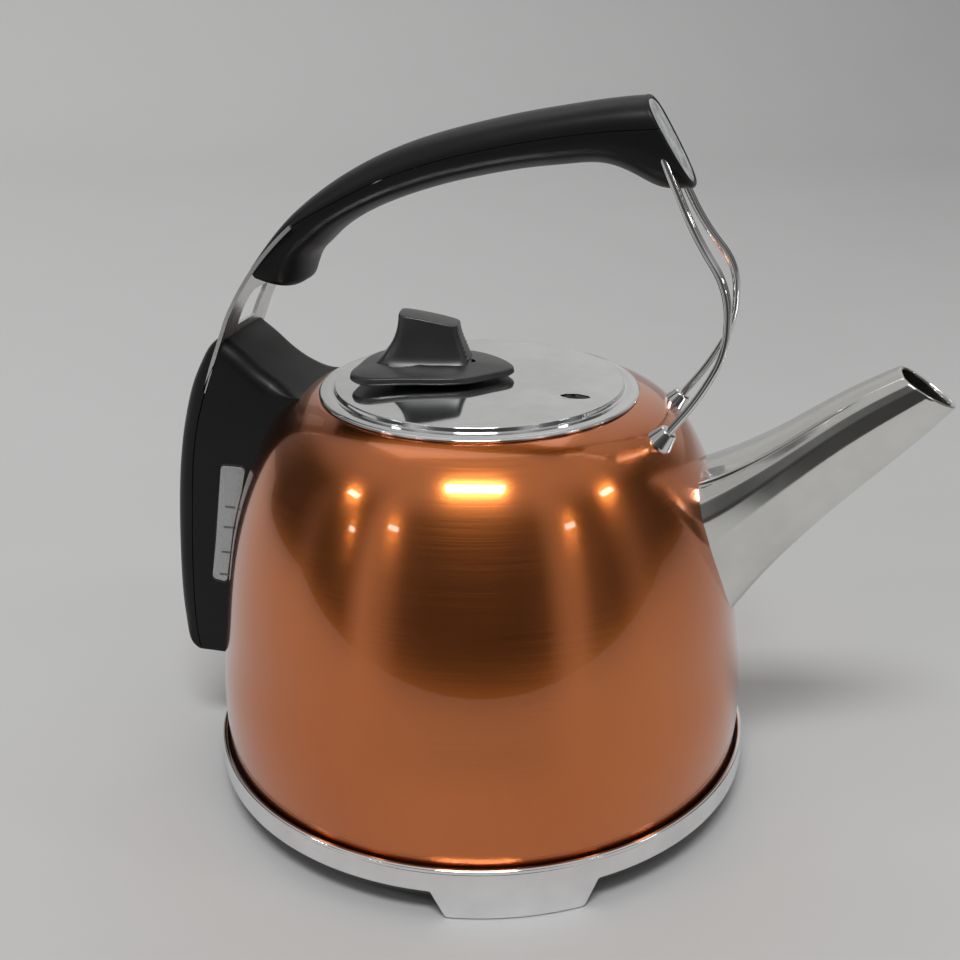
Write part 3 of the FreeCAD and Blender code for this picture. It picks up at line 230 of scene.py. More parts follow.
def arc_path(points, share=0.45, n=14):
    pts = [np.array(p, float) for p in points]
    out = [pts[0]]
    for i in range(1, len(pts) - 1):
        a, p, b = pts[i - 1], pts[i], pts[i + 1]
        d1, d2 = p - a, b - p
        l1, l2 = np.linalg.norm(d1), np.linalg.norm(d2)
        d1, d2 = d1 / l1, d2 / l2
        turn = math.acos(max(-1, min(1, float(d1 @ d2))))
        back = share * min(l1, l2)
        r = back / math.tan(turn / 2)
        s, e = p - d1 * back, p + d2 * back
        bis = (d2 - d1) / np.linalg.norm(d2 - d1)
        cen = p + bis * (r / math.cos(turn / 2))
        p0, p1 = (s - cen) / r, (e - cen) / r
        for k in range(n + 1):
            w = k / n
            out.append(cen + r * (math.sin((1 - w) * turn) * p0 + math.sin(w * turn) * p1) / math.sin(turn))
    out.append(pts[-1])
    P = np.array(out)
    t = chord(P)
    keep = np.r_[True, np.diff(t) > 1e-6]
    P, t = P[keep], t[keep]
    tt = np.linspace(0, t[-1], 220)
    return np.stack([np.interp(tt, t, P[:, k]) for k in range(3)], 1)


# ------------------------------------------------------------------ materials
MAT = {}


def new_mat(name):
    m = bpy.data.materials.new(name)
    m.use_nodes = True
    nt = m.node_tree
    nt.nodes.clear()
    out = nt.nodes.new("ShaderNodeOutputMaterial")
    b = nt.nodes.new("ShaderNodeBsdfPrincipled")
    nt.links.new(b.outputs[0], out.inputs[0])
    MAT[name] = m
    return m, nt, b


def coords(nt, scale=(1, 1, 1), kind="Object"):
    tc = nt.nodes.new("ShaderNodeTexCoord")
    mp = nt.nodes.new("ShaderNodeMapping")
    mp.inputs["Scale"].default_value = scale
    nt.links.new(tc.outputs[kind], mp.inputs["Vector"])
    return mp.outputs[0]


def noise_tex(nt, vec, scale, detail=3.0, rough=0.55):
    n = nt.nodes.new("ShaderNodeTexNoise")
    n.inputs["Scale"].default_value = scale
    n.inputs["Detail"].default_value = detail
    n.inputs["Roughness"].default_value = rough
    nt.links.new(vec, n.inputs["Vector"])
    return n.outputs["Fac"]


def remap(nt, fac, a, b, lo=0.3, hi=0.7):
    r = nt.nodes.new("ShaderNodeMapRange")
    r.inputs["From Min"].default_value = lo
    r.inputs["From Max"].default_value = hi
    r.inputs["To Min"].default_value = a
    r.inputs["To Max"].default_value = b
    nt.links.new(fac, r.inputs["Value"])
    return r.outputs[0]


def ramp(nt, fac, stops):
    r = nt.nodes.new("ShaderNodeValToRGB")
    e = r.color_ramp.elements
    e[0].position, e[0].color = stops[0][0], (*stops[0][1], 1)
    e[1].position, e[1].color = stops[-1][0], (*stops[-1][1], 1)
    for p, c in stops[1:-1]:
        k = e.new(p)
        k.color = (*c, 1)
    nt.links.new(fac, r.inputs["Fac"])
    return r.outputs[0]


def bump(nt, bsdf, height, strength, distance=0.0002, chain=None):
    b = nt.nodes.new("ShaderNodeBump")
    b.inputs["Strength"].default_value = strength
    b.inputs["Distance"].default_value = distance
    nt.links.new(height, b.inputs["Height"])
    if chain is not None:
        nt.links.new(chain, b.inputs["Normal"])
    nt.links.new(b.outputs[0], bsdf.inputs["Normal"])
    return b.outputs[0]


def metal(name, color, rough, rough_var=0.03, spread=None, aniso=0.0, scale=60.0, brush=None, brush_strength=0.05,
          coat=0.0, coat_rough=0.03, smudge=0.0):
    m, nt, b = new_mat(name)
    b.inputs["Metallic"].default_value = 1.0
    c2 = spread or tuple(x * 0.9 for x in color)
    n = noise_tex(nt, coords(nt), scale, 4)
    nt.links.new(ramp(nt, n, [(0.35, c2), (0.65, color)]), b.inputs["Base Color"])
    fac = n
    if brush:
        fac = noise_tex(nt, coords(nt, brush), 1.0, 3, 0.6)
        bump(nt, b, fac, brush_strength, 0.0001)
    elif smudge:
        bump(nt, b, noise_tex(nt, coords(nt), 24, 1.5, 0.4), smudge, 0.0004)
    nt.links.new(remap(nt, fac, max(0.0, rough - rough_var), rough + rough_var), b.inputs["Roughness"])
    if aniso:
        b.inputs["Anisotropic"].default_value = aniso
        tg = nt.nodes.new("ShaderNodeTangent")
        tg.direction_type = "RADIAL"
        tg.axis = "Z"
        nt.links.new(tg.outputs[0], b.inputs["Tangent"])
        b.inputs["Anisotropic Rotation"].default_value = 0.25
    if coat:
        b.inputs["Coat Weight"].default_value = coat
        b.inputs["Coat Roughness"].default_value = coat_rough
    return m


def plastic(name, color, rough, rough_var=0.05, grain=1500.0, grain_strength=0.08, color2=None, scale=35.0, coat=0.0,
            coat_rough=0.1, spec=0.5, worn=0.0):
    m, nt, b = new_mat(name)
    v = coords(nt)
    n = noise_tex(nt, v, scale, 4)
    nt.links.new(ramp(nt, n, [(0.35, color2 or tuple(x * 0.82 for x in color)), (0.65, color)]),
                 b.inputs["Base Color"])
    nt.links.new(remap(nt, noise_tex(nt, v, scale * 2.2, 5), max(0.02, rough - rough_var), rough + rough_var),
                 b.inputs["Roughness"])
    b.inputs["Specular IOR Level"].default_value = spec
    if grain_strength:
        bump(nt, b, noise_tex(nt, v, grain, 2), grain_strength, 0.00006)
    if coat:
        b.inputs["Coat Weight"].default_value = coat
        b.inputs["Coat Roughness"].default_value = coat_rough
    return m


# lacquered copper colour over circumferential brushing
m, nt, b = new_mat("copper_body")
b.inputs["Metallic"].default_value = 1.0
lines = noise_tex(nt, coords(nt, (18, 18, 5200)), 1.0, 3, 0.65)
soft = noise_tex(nt, coords(nt, (1, 1, 0.35)), 16.0, 3, 0.5)
tint = ramp(nt, soft, [(0.3, (0.63, 0.160, 0.030)), (0.7, (0.71, 0.198, 0.041))])
mix = nt.nodes.new("ShaderNodeMix")
mix.data_type = "RGBA"
mix.blend_type = "MULTIPLY"
mix.inputs["Factor"].default_value = 0.35
nt.links.new(tint, mix.inputs["A"])
nt.links.new(ramp(nt, lines, [(0.3, (0.82, 0.8, 0.78)), (0.7, (1, 1, 1))]), mix.inputs["B"])
nt.links.new(mix.outputs["Result"], b.inputs["Base Color"])
nt.links.new(remap(nt, lines, 0.17, 0.25), b.inputs["Roughness"])
bump(nt, b, lines, 0.035, 0.00008)
b.inputs["Anisotropic"].default_value = 0.72
tg = nt.nodes.new("ShaderNodeTangent")
tg.direction_type = "RADIAL"
tg.axis = "Z"
nt.links.new(tg.outputs[0], b.inputs["Tangent"])
b.inputs["Anisotropic Rotation"].default_value = 0.25
b.inputs["Coat Weight"].default_value = 1.0
b.inputs["Coat Roughness"].default_value = 0.025
b.inputs["Coat IOR"].default_value = 1.5

metal("chrome_lid", (0.84, 0.855, 0.86), 0.07, 0.015, smudge=0.010)
metal("chrome_base", (0.90, 0.905, 0.91), 0.055, 0.015, smudge=0.012)
metal("polished_spout", (0.78, 0.775, 0.75), 0.13, 0.02, smudge=0.02)
metal("chrome_rod", (0.80, 0.80, 0.80), 0.08, 0.02)
metal("bracket_steel", (0.72, 0.72, 0.71), 0.30, 0.06, brush=(40, 2600, 40), brush_strength=0.06)
metal("inner_steel", (0.56, 0.56, 0.55), 0.36, 0.06, brush=(30, 30, 2500), brush_strength=0.05)
metal("aluminium_plate", (0.66, 0.67, 0.68), 0.42, 0.07, brush=(900, 40, 40), brush_strength=0.06)
metal("fastener_steel", (0.58, 0.58, 0.57), 0.30, 0.08)
metal("contact_brass", (0.80, 0.60, 0.28), 0.28, 0.07, spread=(0.70, 0.49, 0.20))
plastic("black_satin", (0.0120, 0.0122, 0.0127), 0.37, 0.05, grain=1800, grain_strength=0.05, spec=0.18)
plastic("knob_satin", (0.026, 0.026, 0.0265), 0.34, 0.04, grain=1800, grain_strength=0.04, spec=0.72)
# painted shade: steel darkened to stand in for the shade inside the vent slot
metal("vent_bowl_painted_shade", (0.16, 0.16, 0.155), 0.42, 0.06)
plastic("black_base", (0.020, 0.020, 0.021), 0.46, 0.06, grain=1100, grain_strength=0.12)
plastic("nylon", (0.55, 0.54, 0.50), 0.42, 0.06, color2=(0.50, 0.49, 0.45))
plastic("phenolic", (0.045, 0.032, 0.026), 0.50, 0.08, color2=(0.028, 0.020, 0.017))
plastic("rubber_foot", (0.030, 0.030, 0.031), 0.78, 0.07, grain=900, grain_strength=0.2)
plastic("silicone", (0.42, 0.42, 0.40), 0.50, 0.05, color2=(0.38, 0.38, 0.36), grain_strength=0.05)
plastic("switch_grip", (0.023, 0.023, 0.024), 0.5, 0.05)

# mottled grey inset of the handle's end
m, nt, b = new_mat("grey_cap")
v = coords(nt)
n1, n2 = noise_tex(nt, v, 190, 6, 0.7), noise_tex(nt, v, 900, 3, 0.6)
nt.links.new(ramp(nt, n1, [(0.36, (0.27, 0.285, 0.285)), (0.5, (0.46, 0.475, 0.475)), (0.64, (0.66, 0.675, 0.67))]),
             b.inputs["Base Color"])
nt.links.new(remap(nt, n2, 0.42, 0.62), b.inputs["Roughness"])
bump(nt, b, n2, 0.12, 0.0001)

# silvery water window
m, nt, b = new_mat("gauge_window")
v = coords(nt, (1, 1, 0.4))
nt.links.new(ramp(nt, noise_tex(nt, v, 60, 3), [(0.3, (0.34, 0.355, 0.36)), (0.7, (0.44, 0.455, 0.46))]),
             b.inputs["Base Color"])
b.inputs["Metallic"].default_value = 0.35
nt.links.new(remap(nt, noise_tex(nt, v, 200, 3), 0.22, 0.32), b.inputs["Roughness"])
b.inputs["Coat Weight"].default_value = 1.0
b.inputs["Coat Roughness"].default_value = 0.04
m, nt, b = new_mat("gauge_clear")
b.inputs["Base Color"].default_value = (0.93, 0.95, 0.95, 1)
b.inputs["Transmission Weight"].default_value = 1.0
nt.links.new(remap(nt, noise_tex(nt, coords(nt), 120, 3), 0.05, 0.12), b.inputs["Roughness"])
b.inputs["IOR"].default_value = 1.5
m, nt, b = new_mat("lens_red")
nt.links.new(ramp(nt, noise_tex(nt, coords(nt), 500, 2), [(0.3, (0.45, 0.012, 0.010)), (0.7, (0.62, 0.025, 0.018))]),
             b.inputs["Base Color"])
b.inputs["Transmission Weight"].default_value = 0.55
b.inputs["Roughness"].default_value = 0.12
m, nt, b = new_mat("gauge_print")
nt.links.new(ramp(nt, noise_tex(nt, coords(nt), 800, 2), [(0.3, (0.10, 0.10, 0.10)), (0.7, (0.14, 0.14, 0.14))]),
             b.inputs["Base Color"])
b.inputs["Roughness"].default_value = 0.4
# painted shade: near-black stand-in for the shade inside gaps
m, nt, b = new_mat("dark_gap")
nt.links.new(ramp(nt, noise_tex(nt, coords(nt), 200, 2), [(0.3, (0.004, 0.004, 0.004)), (0.7, (0.008, 0.008, 0.008))]),
             b.inputs["Base Color"])
b.inputs["Roughness"].default_value = 0.7

for name, ob in NODES.items():
    ob.data.materials.clear()
    ob.data.materials.append(MAT[SLOT_OF[name]])
    for p in ob.data.polygons:
        p.use_smooth = True
    ob.data.set_sharp_from_angle(angle=math.radians(28))

# ------------------------------------------------------------------ kettle body
PROFILE = [(100.0, 18.6), (100.4, 27.0), (100.5, 36.0), (99.9, 48.0), (97.9, 63.5), (95.7, 81.5), (92.9, 98.0),
           (89.6, 111.0), (85.5, 123.0), (81.2, 132.7), (76.2, 141.0), (70.2, 147.2), (63.5, 151.1), (58.4, 152.9)]
_out = curve(PROFILE, 150)


def body_r(z):
    """Outer radius of the copper shell at height z."""
    return np.interp(z, _out[:, 1], _out[:, 0])


tan = np.gradient(_out, axis=0)
nrm = np.stack([-tan[:, 1], tan[:, 0]], 1)
nrm /= np.linalg.norm(nrm, axis=1)[:, None]
_in = _out + nrm * 0.95
_in[:, 1] = np.clip(_in[:, 1], 18.6, None)
neck = fillet([(58.4, 152.9), (57.0, 153.05), (55.5, 152.2), (55.4, 143.0), (56.2, 143.0), (56.3, 151.2), tuple(_in[-1])],
              [0, 0.8, 1.0, 0.2, 0.2, 0.5, 0], 5)
foot_edge = [tuple(_in[0]), (99.3, 18.55), (99.65, 18.35), (100.0, 18.6)]


# spout stations: x, roof height, keel height, half-width
SPOUT = np.array([(76.0, 128.6, 46.8, 22.0), (88.0, 133.6, 62.8, 21.2), (97.0, 138.5, 77.0, 19.4),
                  (106.0, 144.2, 91.0, 17.4), (116.0, 151.4, 104.4, 15.4), (126.0, 158.7, 116.4, 13.7),
                  (136.0, 165.2, 127.6, 12.2), (146.0, 170.9, 138.4, 10.9), (156.0, 176.0, 149.7, 9.9),
                  (166.0, 180.3, 162.0, 9.0)])
_st = cubic(SPOUT[:, 0], SPOUT[:, 1:])
MOUTH_A, MOUTH_B = (143.6, 170.6), (163.7, 158.8)


def spout_at(x, t=0.0):
    zt, zl, w = _st(x).T
    return zt - 1.25 * t, zl + 1.6 * t, w - 1.05 * t


def in_bore(C):
    zt, zl, w = spout_at(np.clip(C[:, 0], 76, 166), 3.2)
    v = (C[:, 2] - zl) / (zt - zl)
    f = np.interp(v, [0, 0.1, 0.3, 0.73, 0.9, 1.0], [0.05, 0.35, 0.72, 1.0, 0.8, 0.0])
    return (C[:, 0] > 70) & (v > 0) & (v < 1) & (np.abs(C[:, 1]) < w * f)


kn = int(np.argmax(neck[:, 0] < 56.4))
outer_prof = np.vstack([foot_edge, _out[1:], neck[1:kn + 1]])
inner_prof = np.vstack([neck[kn:], _in[::-1][1:]])
Build().grid(revolve(outer_prof, 540), True, False, keep=lambda C: ~in_bore(C)).make(
    "shell_copper", "kettle", ["copper_body"], ["body_shell"], sharp=50)
# plain steel inside of the shell, with the rolled neck of the mouth
Build().grid(revolve(inner_prof, 360), True, False, keep=lambda C: ~in_bore(C)).make(
    "shell_lining", "kettle", ["inner_steel"], ["mouth_collar"], sharp=50)

# ------------------------------------------------------------------ lid with its sunken vent
STEP_R, STEP_Z, DOME_Z, RIM_Z = 52.2, 156.4, 158.2, 153.5
VENT = np.array((37.8, -12.6))
VENT_DIR = math.radians(math.degrees(math.atan2(-12.6, 37.8)) + 20)


def dome_z(r):
    return STEP_Z + (DOME_Z - STEP_Z) * (1 - (np.asarray(r) / STEP_R) ** 2)


def vent_uv(x, y):
    c, s = math.cos(VENT_DIR), math.sin(VENT_DIR)
    dx, dy = x - VENT[0], y - VENT[1]
    return dx * c + dy * s, -dx * s + dy * c


rr = np.r_[np.linspace(0.01, 20, 24), np.linspace(20.5, STEP_R - 0.7, 90)]
top = np.stack([rr, dome_z(rr)], 1)
rim = fillet([tuple(top[-1]), (STEP_R + 0.05, STEP_Z), (52.5, 154.8), (53.2, 154.65), (55.2, 154.75), (57.3, 154.45), (58.1, 153.85), (57.9, 153.2),
              (57.0, 153.05), (56.5, 153.2), (56.9, 153.7), (55.0, 154.3), (52.0, 154.5)],
             [0, 0.45, 0.3, 0.4, 0.8, 1.1, 0.5, 0.3, 0.3, 0.2, 0.2, 0.5, 0.2], 7)
crease = np.array([(STEP_R + 0.0, STEP_Z)])
under = np.stack([np.linspace(51.8, 0.01, 40), dome_z(np.linspace(51.8, 0.01, 40)) - 0.9], 1)
G = revolve(np.vstack([top, rim[1:]]), 540)
u, v = vent_uv(G[..., 0], G[..., 1])
e = np.sqrt(((u + 3.5) / 14.0) ** 2 + (v / 6.4) ** 2)
on_top = (np.hypot(G[..., 0], G[..., 1]) < STEP_R - 0.2)
depth = np.where(e < 1, (1 - e ** 2) ** 2, 0) * 0.62
G[..., 2] -= np.where(on_top, depth, 0)
lb = Build()
U = revolve(under, 180)


def outside_vent(C):
    uu, vv = vent_uv(C[:, 0], C[:, 1])
    return (uu / 5.3) ** 2 + (np.abs(vv) / 2.5) ** 1.6 > 1


lb.grid(G, True, False, keep=outside_vent)
lb.grid(U, True, False, keep=outside_vent)
lid = lb.make("lid_mirror", "lid", ["chrome_lid"], ["lid_shell"], sharp=30)

# bowl of the vent, seen through the slot, with its rivet; the bowl's steel is darkened as painted shade inside the slot
vb = Build()
a = np.linspace(0, 2 * math.pi, 60, endpoint=False)
c, s = math.cos(VENT_DIR), math.sin(VENT_DIR)
rows = []
zv = float(dome_z(np.hypot(*VENT))) - 1.0
for k, dz in ((1.18, 0.05), (1.10, -0.25), (1.04, -0.9), (0.98, -1.7), (0.7, -2.1), (0.02, -2.2)):
    uu, vv = 5.4 * k * np.cos(a), 2.7 * k * np.sin(a)
    rows.append(np.stack([VENT[0] + uu * c - vv * s, VENT[1] + uu * s + vv * c, np.full(60, zv + dz)], 1))
vb.grid(np.array(rows), False, True)
bowl = vb.make("vent_bowl", "lid", ["inner_steel"], sharp=45)
# painted shade: the bowl gets the darkened steel instead of its own
bowl.data.materials[0] = MAT["vent_bowl_painted_shade"]
rv = fillet([(0.01, 1.1), (0.9, 1.0), (1.5, 0.5), (1.6, 0.0)], [0, 0.5, 0.3, 0], 5)
Build().grid(placed(revolve(rv, 40), (VENT[0] + 1.9 * c, VENT[1] + 1.9 * s, zv - 2.1), (0.05, 0, 1)), True).make(
    "vent_rivet", "lid", ["fastener_steel"])

# ------------------------------------------------------------------ knob
KC, KA = (-20.0, -1.6), math.radians(9.0)
KZ = 159.3
OUTLINE = [(13.3, -1.0), (8.4, -8.4), (1.1, -16.0), (-11.4, -21.0), (-25.4, -24.2), (-36.5, -26.2), (-41.0, -22.8),
           (-42.8, -11.0), (-42.6, 1.0), (-39.0, 10.6), (-30.0, 16.0), (-17.0, 18.0), (-4.3, 16.2), (4.5, 11.0),
           (11.0, 4.2)]
flange = loop_curve(OUTLINE, 240)
fc = np.array(OUTLINE).mean(0)


def grown(d, z):
    r = flange - fc
    L = np.linalg.norm(r, axis=1)[:, None]
    q = fc + r * (L + d) / L
    return np.column_stack([q, np.full(len(q), z)])


side = fillet([(-16.0, 0.25), (-1.1, 0.0), (0.0, 0.8), (-0.35, 2.5), (-1.4, 2.85), (-5.0, 3.45), (-10.5, 4.0), (-14.0, 4.3)],
              [0, 0.5, 0.6, 0.45, 0.3, 3, 3, 0], 5)
fb = Build()
fb.grid(np.array([grown(d, KZ + z) for d, z in side]), False, True)


def along(u, v):
    return KC[0] + u * math.cos(KA) - v * math.sin(KA), KC[1] + u * math.sin(KA) + v * math.cos(KA)


FIN = cubic([2.6, 4.2, 7.8, 11.8, 15.8, 19.0, 22.4],
            [(-18.6, 18.4, 20.6), (-16.6, 17.2, 17.6), (-13.4, 15.7, 14.4), (-10.9, 14.2, 12.6), (-9.4, 13.1, 12.0),
             (-8.8, 12.5, 12.2), (-8.5, 12.2, 12.6)])


def fin_top(u, v):
    return 181.0 - 0.10 * (u + 9.0) - 0.0042 * (u + 9.0) ** 2 - 0.010 * v ** 2 - KZ


NA = 400
# corners of the fin's plan are round; arc length evenly shared
corner = []
for k in range(NA):
    t = 2 * math.pi * k / NA
    cs, sn = math.cos(t), math.sin(t)
    corner.append((math.copysign(abs(cs) ** 0.34, cs), math.copysign(abs(sn) ** 0.34, sn)))
corner = np.array(corner)
cl = np.vstack([corner, corner[:1]])
tc_ = chord(cl * [18, 10])
ti = np.linspace(0, tc_[-1], 320, endpoint=False)
corner = np.stack([np.interp(ti, tc_, cl[:, 0]), np.interp(ti, tc_, cl[:, 1])], 1)
rows = []
for s_ in np.linspace(0, 1, 90):
    row = []
    for cu, cv in corner:
        # height of this column's top edge
        uu = 1.85 + 10.35 * cu
        ht = fin_top(uu, 6.2 * cv) - 0.55
        h = 2.6 + (ht - 2.6) * s_
        u0, u1, w = FIN(h)[0]
        u_ = (u0 + u1) / 2 + (u1 - u0) / 2 * cu
        v_ = w / 2 * cv
        if cu > 0.97 and abs(cv) < 0.82 and 0.08 < s_ < 0.93:      # grip ribs on the front face
            u_ -= 0.28 * (0.5 - 0.5 * math.cos(2 * math.pi * 8.5 * (s_ - 0.08) / 0.85)) * min(1, (0.82 - abs(cv)) / 0.12)
        x, y = along(u_, v_)
        row.append((x, y, KZ + h))
    rows.append(row)
# rounded upper edge and crowned top
for d, dz in ((0.10, 0.28), (0.30, 0.44), (0.62, 0.55)):
    row = []
    for cu, cv in corner:
        ht = fin_top(1.85 + 10.35 * cu, 6.2 * cv) - 0.55
        u0, u1, w = FIN(ht)[0]
        x, y = along((u0 + u1) / 2 + ((u1 - u0) / 2 - d) * cu, (w / 2 - d) * cv)
        row.append((x, y, KZ + ht + dz))
    rows.append(row)
for k in np.linspace(0.92, 0.0, 12):
    row = []
    for cu, cv in corner:
        u_, v_ = 1.85 + (10.35 - 0.6) * cu * k, (6.2 - 0.6) * cv * k
        x, y = along(u_, v_)
        row.append((x, y, KZ + fin_top(u_, v_)))
    rows.append(row)
fb.grid(np.array(rows), False, True)
# pedestal between flange and lid
rows = []
t = np.linspace(0, 2 * math.pi, 80, endpoint=False)
for k, z in ((1.12, KZ + 0.3), (1.0, KZ - 0.2), (0.96, 158.4), (0.98, 157.6)):
    x, y = along(2.0 + 15.5 * k * np.cos(t), 6.4 * k * np.sin(t))
    rows.append(np.column_stack([x, y, np.full(80, z)]))
fb.grid(np.array(rows), False, True)
knob = fb.make("knob_grip", "lid", ["black_satin"], ["lid_knob"], sharp=42)
knob.data.materials[0] = MAT["knob_satin"]

# ------------------------------------------------------------------ base ring with feet
FEET = [math.radians(a) for a in (-69.0, 51.0, 171.0)]
angs = list(np.linspace(0, 2 * math.pi, 720, endpoint=False))
for c_ in FEET:
    for sgn in (-1, 1):
        angs += list(c_ + sgn * np.radians(np.linspace(12.4, 17.6, 70)))
angs = np.array(sorted(set(np.round(np.mod(angs, 2 * math.pi), 6))))
edge = fillet([(0, 0), (13.3, 0.0), (16.1, 10.2), (30, 10.2)], [0, 1.0, 0.9, 0], 10)


def z_low(a):
    d = min(abs((math.degrees(a - c_) + 180) % 360 - 180) for c_ in FEET)
    # degrees are used as they are here; the ring rows below treat each degree as 1.8 mm, so that their fillets are
    # round in true size
    return float(np.interp(d, edge[:, 0], edge[:, 1]))


edge_true = fillet([(0, 0), (13.3 * 1.798, 0.0), (16.1 * 1.798, 10.2), (60, 10.2)], [0, 1.6, 1.4, 0], 12)
ring_rows = []
for a in angs:
    d = min(abs((math.degrees(a - c_) + 180) % 360 - 180) for c_ in FEET) * 1.798
    z0 = float(np.interp(d, edge_true[:, 0], edge_true[:, 1]))
    pf = [(101.9, z0 + 0.35), (102.1, z0 + 0.08), (102.4, z0), (102.7, z0 + 0.08), (102.92, z0 + 0.3), (103.0, z0 + 0.6)]
    pf += [(103.0, z) for z in np.linspace(z0 + 1.0, 17.9, 14)]
    bead = fillet([(103.0, 17.9), (102.86, 18.15), (103.0, 18.4), (103.0, 19.3), (102.4, 19.65), (101.5, 19.6), (101.0, 19.0),
                   (101.0, 17.6), (101.9, 17.6)],
                  [0, 0.15, 0.25, 0.45, 0.5, 0.4, 0.4, 0.1, 0], 4)
    pf += [tuple(p) for p in bead[1:]]
    pf += [(101.8, z) for z in np.linspace(17.0, z0 + 0.6, 6)]
    ring_rows.append([(r * math.cos(a), r * math.sin(a), z) for r, z in pf])
n0 = math.radians(100.0)


def not_inlet(C):
    aa = np.arctan2(C[:, 1], C[:, 0]) - n0
    return ~((np.abs(np.sin(aa) * 103) < 5.2) & (np.cos(aa) > 0) & (C[:, 2] < 13.2))


Build().grid(np.array(ring_rows), True, True, keep=not_inlet).make(
    "base_ring", "base", ["chrome_base"], ["base_skirt"], sharp=35)

# ------------------------------------------------------------------ spout
vm = 0.73
SEC = [(0.0, 0.0), (0.30, 0.035), (0.48, 0.10), (0.69, 0.235), (0.86, 0.40), (0.965, 0.545), (1.0, 0.64), (0.992, 0.81),
       (0.88, 0.90), (0.72, 0.957), (0.64, 0.974), (0.30, 0.992), (0.0, 1.0)]
right = fillet(SEC, [0, 0.10, 0.3, 0.4, 0.5, 0.3, 0.10, 0.03, 0.1, 0.05, 0.05, 0.4, 0], 5)
left = right[1:-1][::-1] * [-1, 1]
unit = np.vstack([right, left])
ul = np.vstack([unit, unit[:1]])
tu = chord(ul * [14, 34])
ti = np.linspace(0, tu[-1], 280, endpoint=False)
unit = np.stack([np.interp(ti, tu, ul[:, 0]), np.interp(ti, tu, ul[:, 1])], 1)
dxm, dzm = MOUTH_B[0] - MOUTH_A[0], MOUTH_B[1] - MOUTH_A[1]
nm = np.array((-dzm, dxm)) / math.hypot(dxm, dzm)      # out of the mouth
xs = np.linspace(80.0, 168.0, 441)


def spout_line(f, v, t):
    zt, zl, w = spout_at(np.clip(xs, 76, 166), t)
    return np.column_stack([xs, w * f, zl + (zt - zl) * v])


def cut_line(L, back):
    d = (L[:, 0] - MOUTH_A[0]) * nm[0] + (L[:, 2] - MOUTH_A[1]) * nm[1] + back
    i = int(np.argmax(d > 0))
    if d[i] <= 0:
        i = len(d) - 1
    w = -d[i - 1] / (d[i] - d[i - 1])
    return xs[i - 1] + (xs[i] - xs[i - 1]) * w


def on_line(L, x):
    return np.column_stack([x, np.interp(x, xs, L[:, 1]), np.interp(x, xs, L[:, 2])])


NS = 110
rows_o, rows_i = [], []
for f, v in unit:
    L = spout_line(f, v, 0.0)
    rows_o.append(on_line(L, np.linspace(80.0, cut_line(L, 0.45), NS)))
    L = spout_line(f, v, 1.1)
    rows_i.append(on_line(L, np.linspace(cut_line(L, 0.45), 88.0, NS)))
O, I = np.array(rows_o), np.array(rows_i)
a_, b_ = O[:, -1], I[:, 0]
n3 = np.array((nm[0], 0, nm[1]))
rim_rows = [a_]
for k, hgt in ((0.12, 0.28), (0.3, 0.42), (0.5, 0.46), (0.7, 0.42), (0.88, 0.28)):
    rim_rows.append(a_ + (b_ - a_) * k + n3 * hgt)
rim_rows.append(b_)
allrows = np.concatenate([O, np.array(rim_rows).transpose(1, 0, 2)[:, 1:-1], I], 1)
sp = Build().grid(allrows, True, False)
sp.make("spout_bright", "kettle", ["polished_spout"], ["spout"], sharp=32)

# ------------------------------------------------------------------ handle
CENTRE = [(84.0, 247.6), (72.0, 247.3), (62.0, 247.0), (53.0, 246.5), (44.1, 245.7), (31.1, 244.0), (17.9, 241.8),
          (4.5, 239.0), (-12.8, 234.6), (-30.6, 228.4), (-47.6, 220.2), (-55.6, 216.0), (-61.6, 212.3), (-68.7, 205.9),
          (-74.4, 199.7), (-79.6, 193.0), (-84.2, 186.0)]
SECT = [(9.4, 20.0, 12.6), (9.5, 19.9, 12.8), (9.6, 19.4, 13.0), (9.5, 15.0, 13.1), (9.2, 11.2, 13.1), (8.8, 9.9, 13.2),
        (8.6, 9.3, 13.3), (8.4, 8.9, 13.5), (8.2, 8.6, 13.8), (7.8, 8.3, 14.5), (6.9, 8.2, 16.2), (5.7, 9.4, 17.4),
        (4.6, 10.6, 18.4), (3.7, 11.2, 19.2), (3.0, 14.2, 19.4), (2.6, 15.0, 19.2), (2.4, 13.6, 18.6)]
END_TOP, END_LOW = np.array((57.3, 256.8)), np.array((74.6, 228.0))
HEEL_A, HEEL_B = np.array((-84.0, 195.8)), np.array((-62.0, 187.7))
tcn = chord(CENTRE)
fcn, fse = cubic(tcn, CENTRE), cubic(tcn, SECT)
NL = 420
tt = np.linspace(0, tcn[-1], NL)
cen, sec = fcn(tt), fse(tt)
tg_ = np.gradient(cen, axis=0)
upv = np.stack([tg_[:, 1], -tg_[:, 0]], 1)
upv *= np.sign(upv[:, 1])[:, None]
upv /= np.linalg.norm(upv, axis=1)[:, None]


def plane(a, b_pt, p):
    d = (b_pt - a) / np.linalg.norm(b_pt - a)
    n = np.array((-d[1], d[0]))
    return (p[:, 0] - a[0]) * n[0] + (p[:, 1] - a[1]) * n[1]


def handle_half(thetas, off=0.0):
    """Rings of one shell: (theta, along) lines along the whole centre line; trim() cuts them at the slanted front and
    heel planes.
    """
    lines = []
    for th, inset, lift in thetas:
        cs, sn = math.cos(th), math.sin(th)
        ex = 2 / 2.35
        y = (sec[:, 2] - off - inset) * math.copysign(abs(cs) ** ex, cs)
        hgt = np.where(sn > 0, sec[:, 0], sec[:, 1])
        hgt = (hgt - off) * math.copysign(abs(sn) ** ex, sn) + lift
        P = np.column_stack([cen[:, 0] + upv[:, 0] * hgt, y, cen[:, 1] + upv[:, 1] * hgt])
        lines.append(P)
    return lines


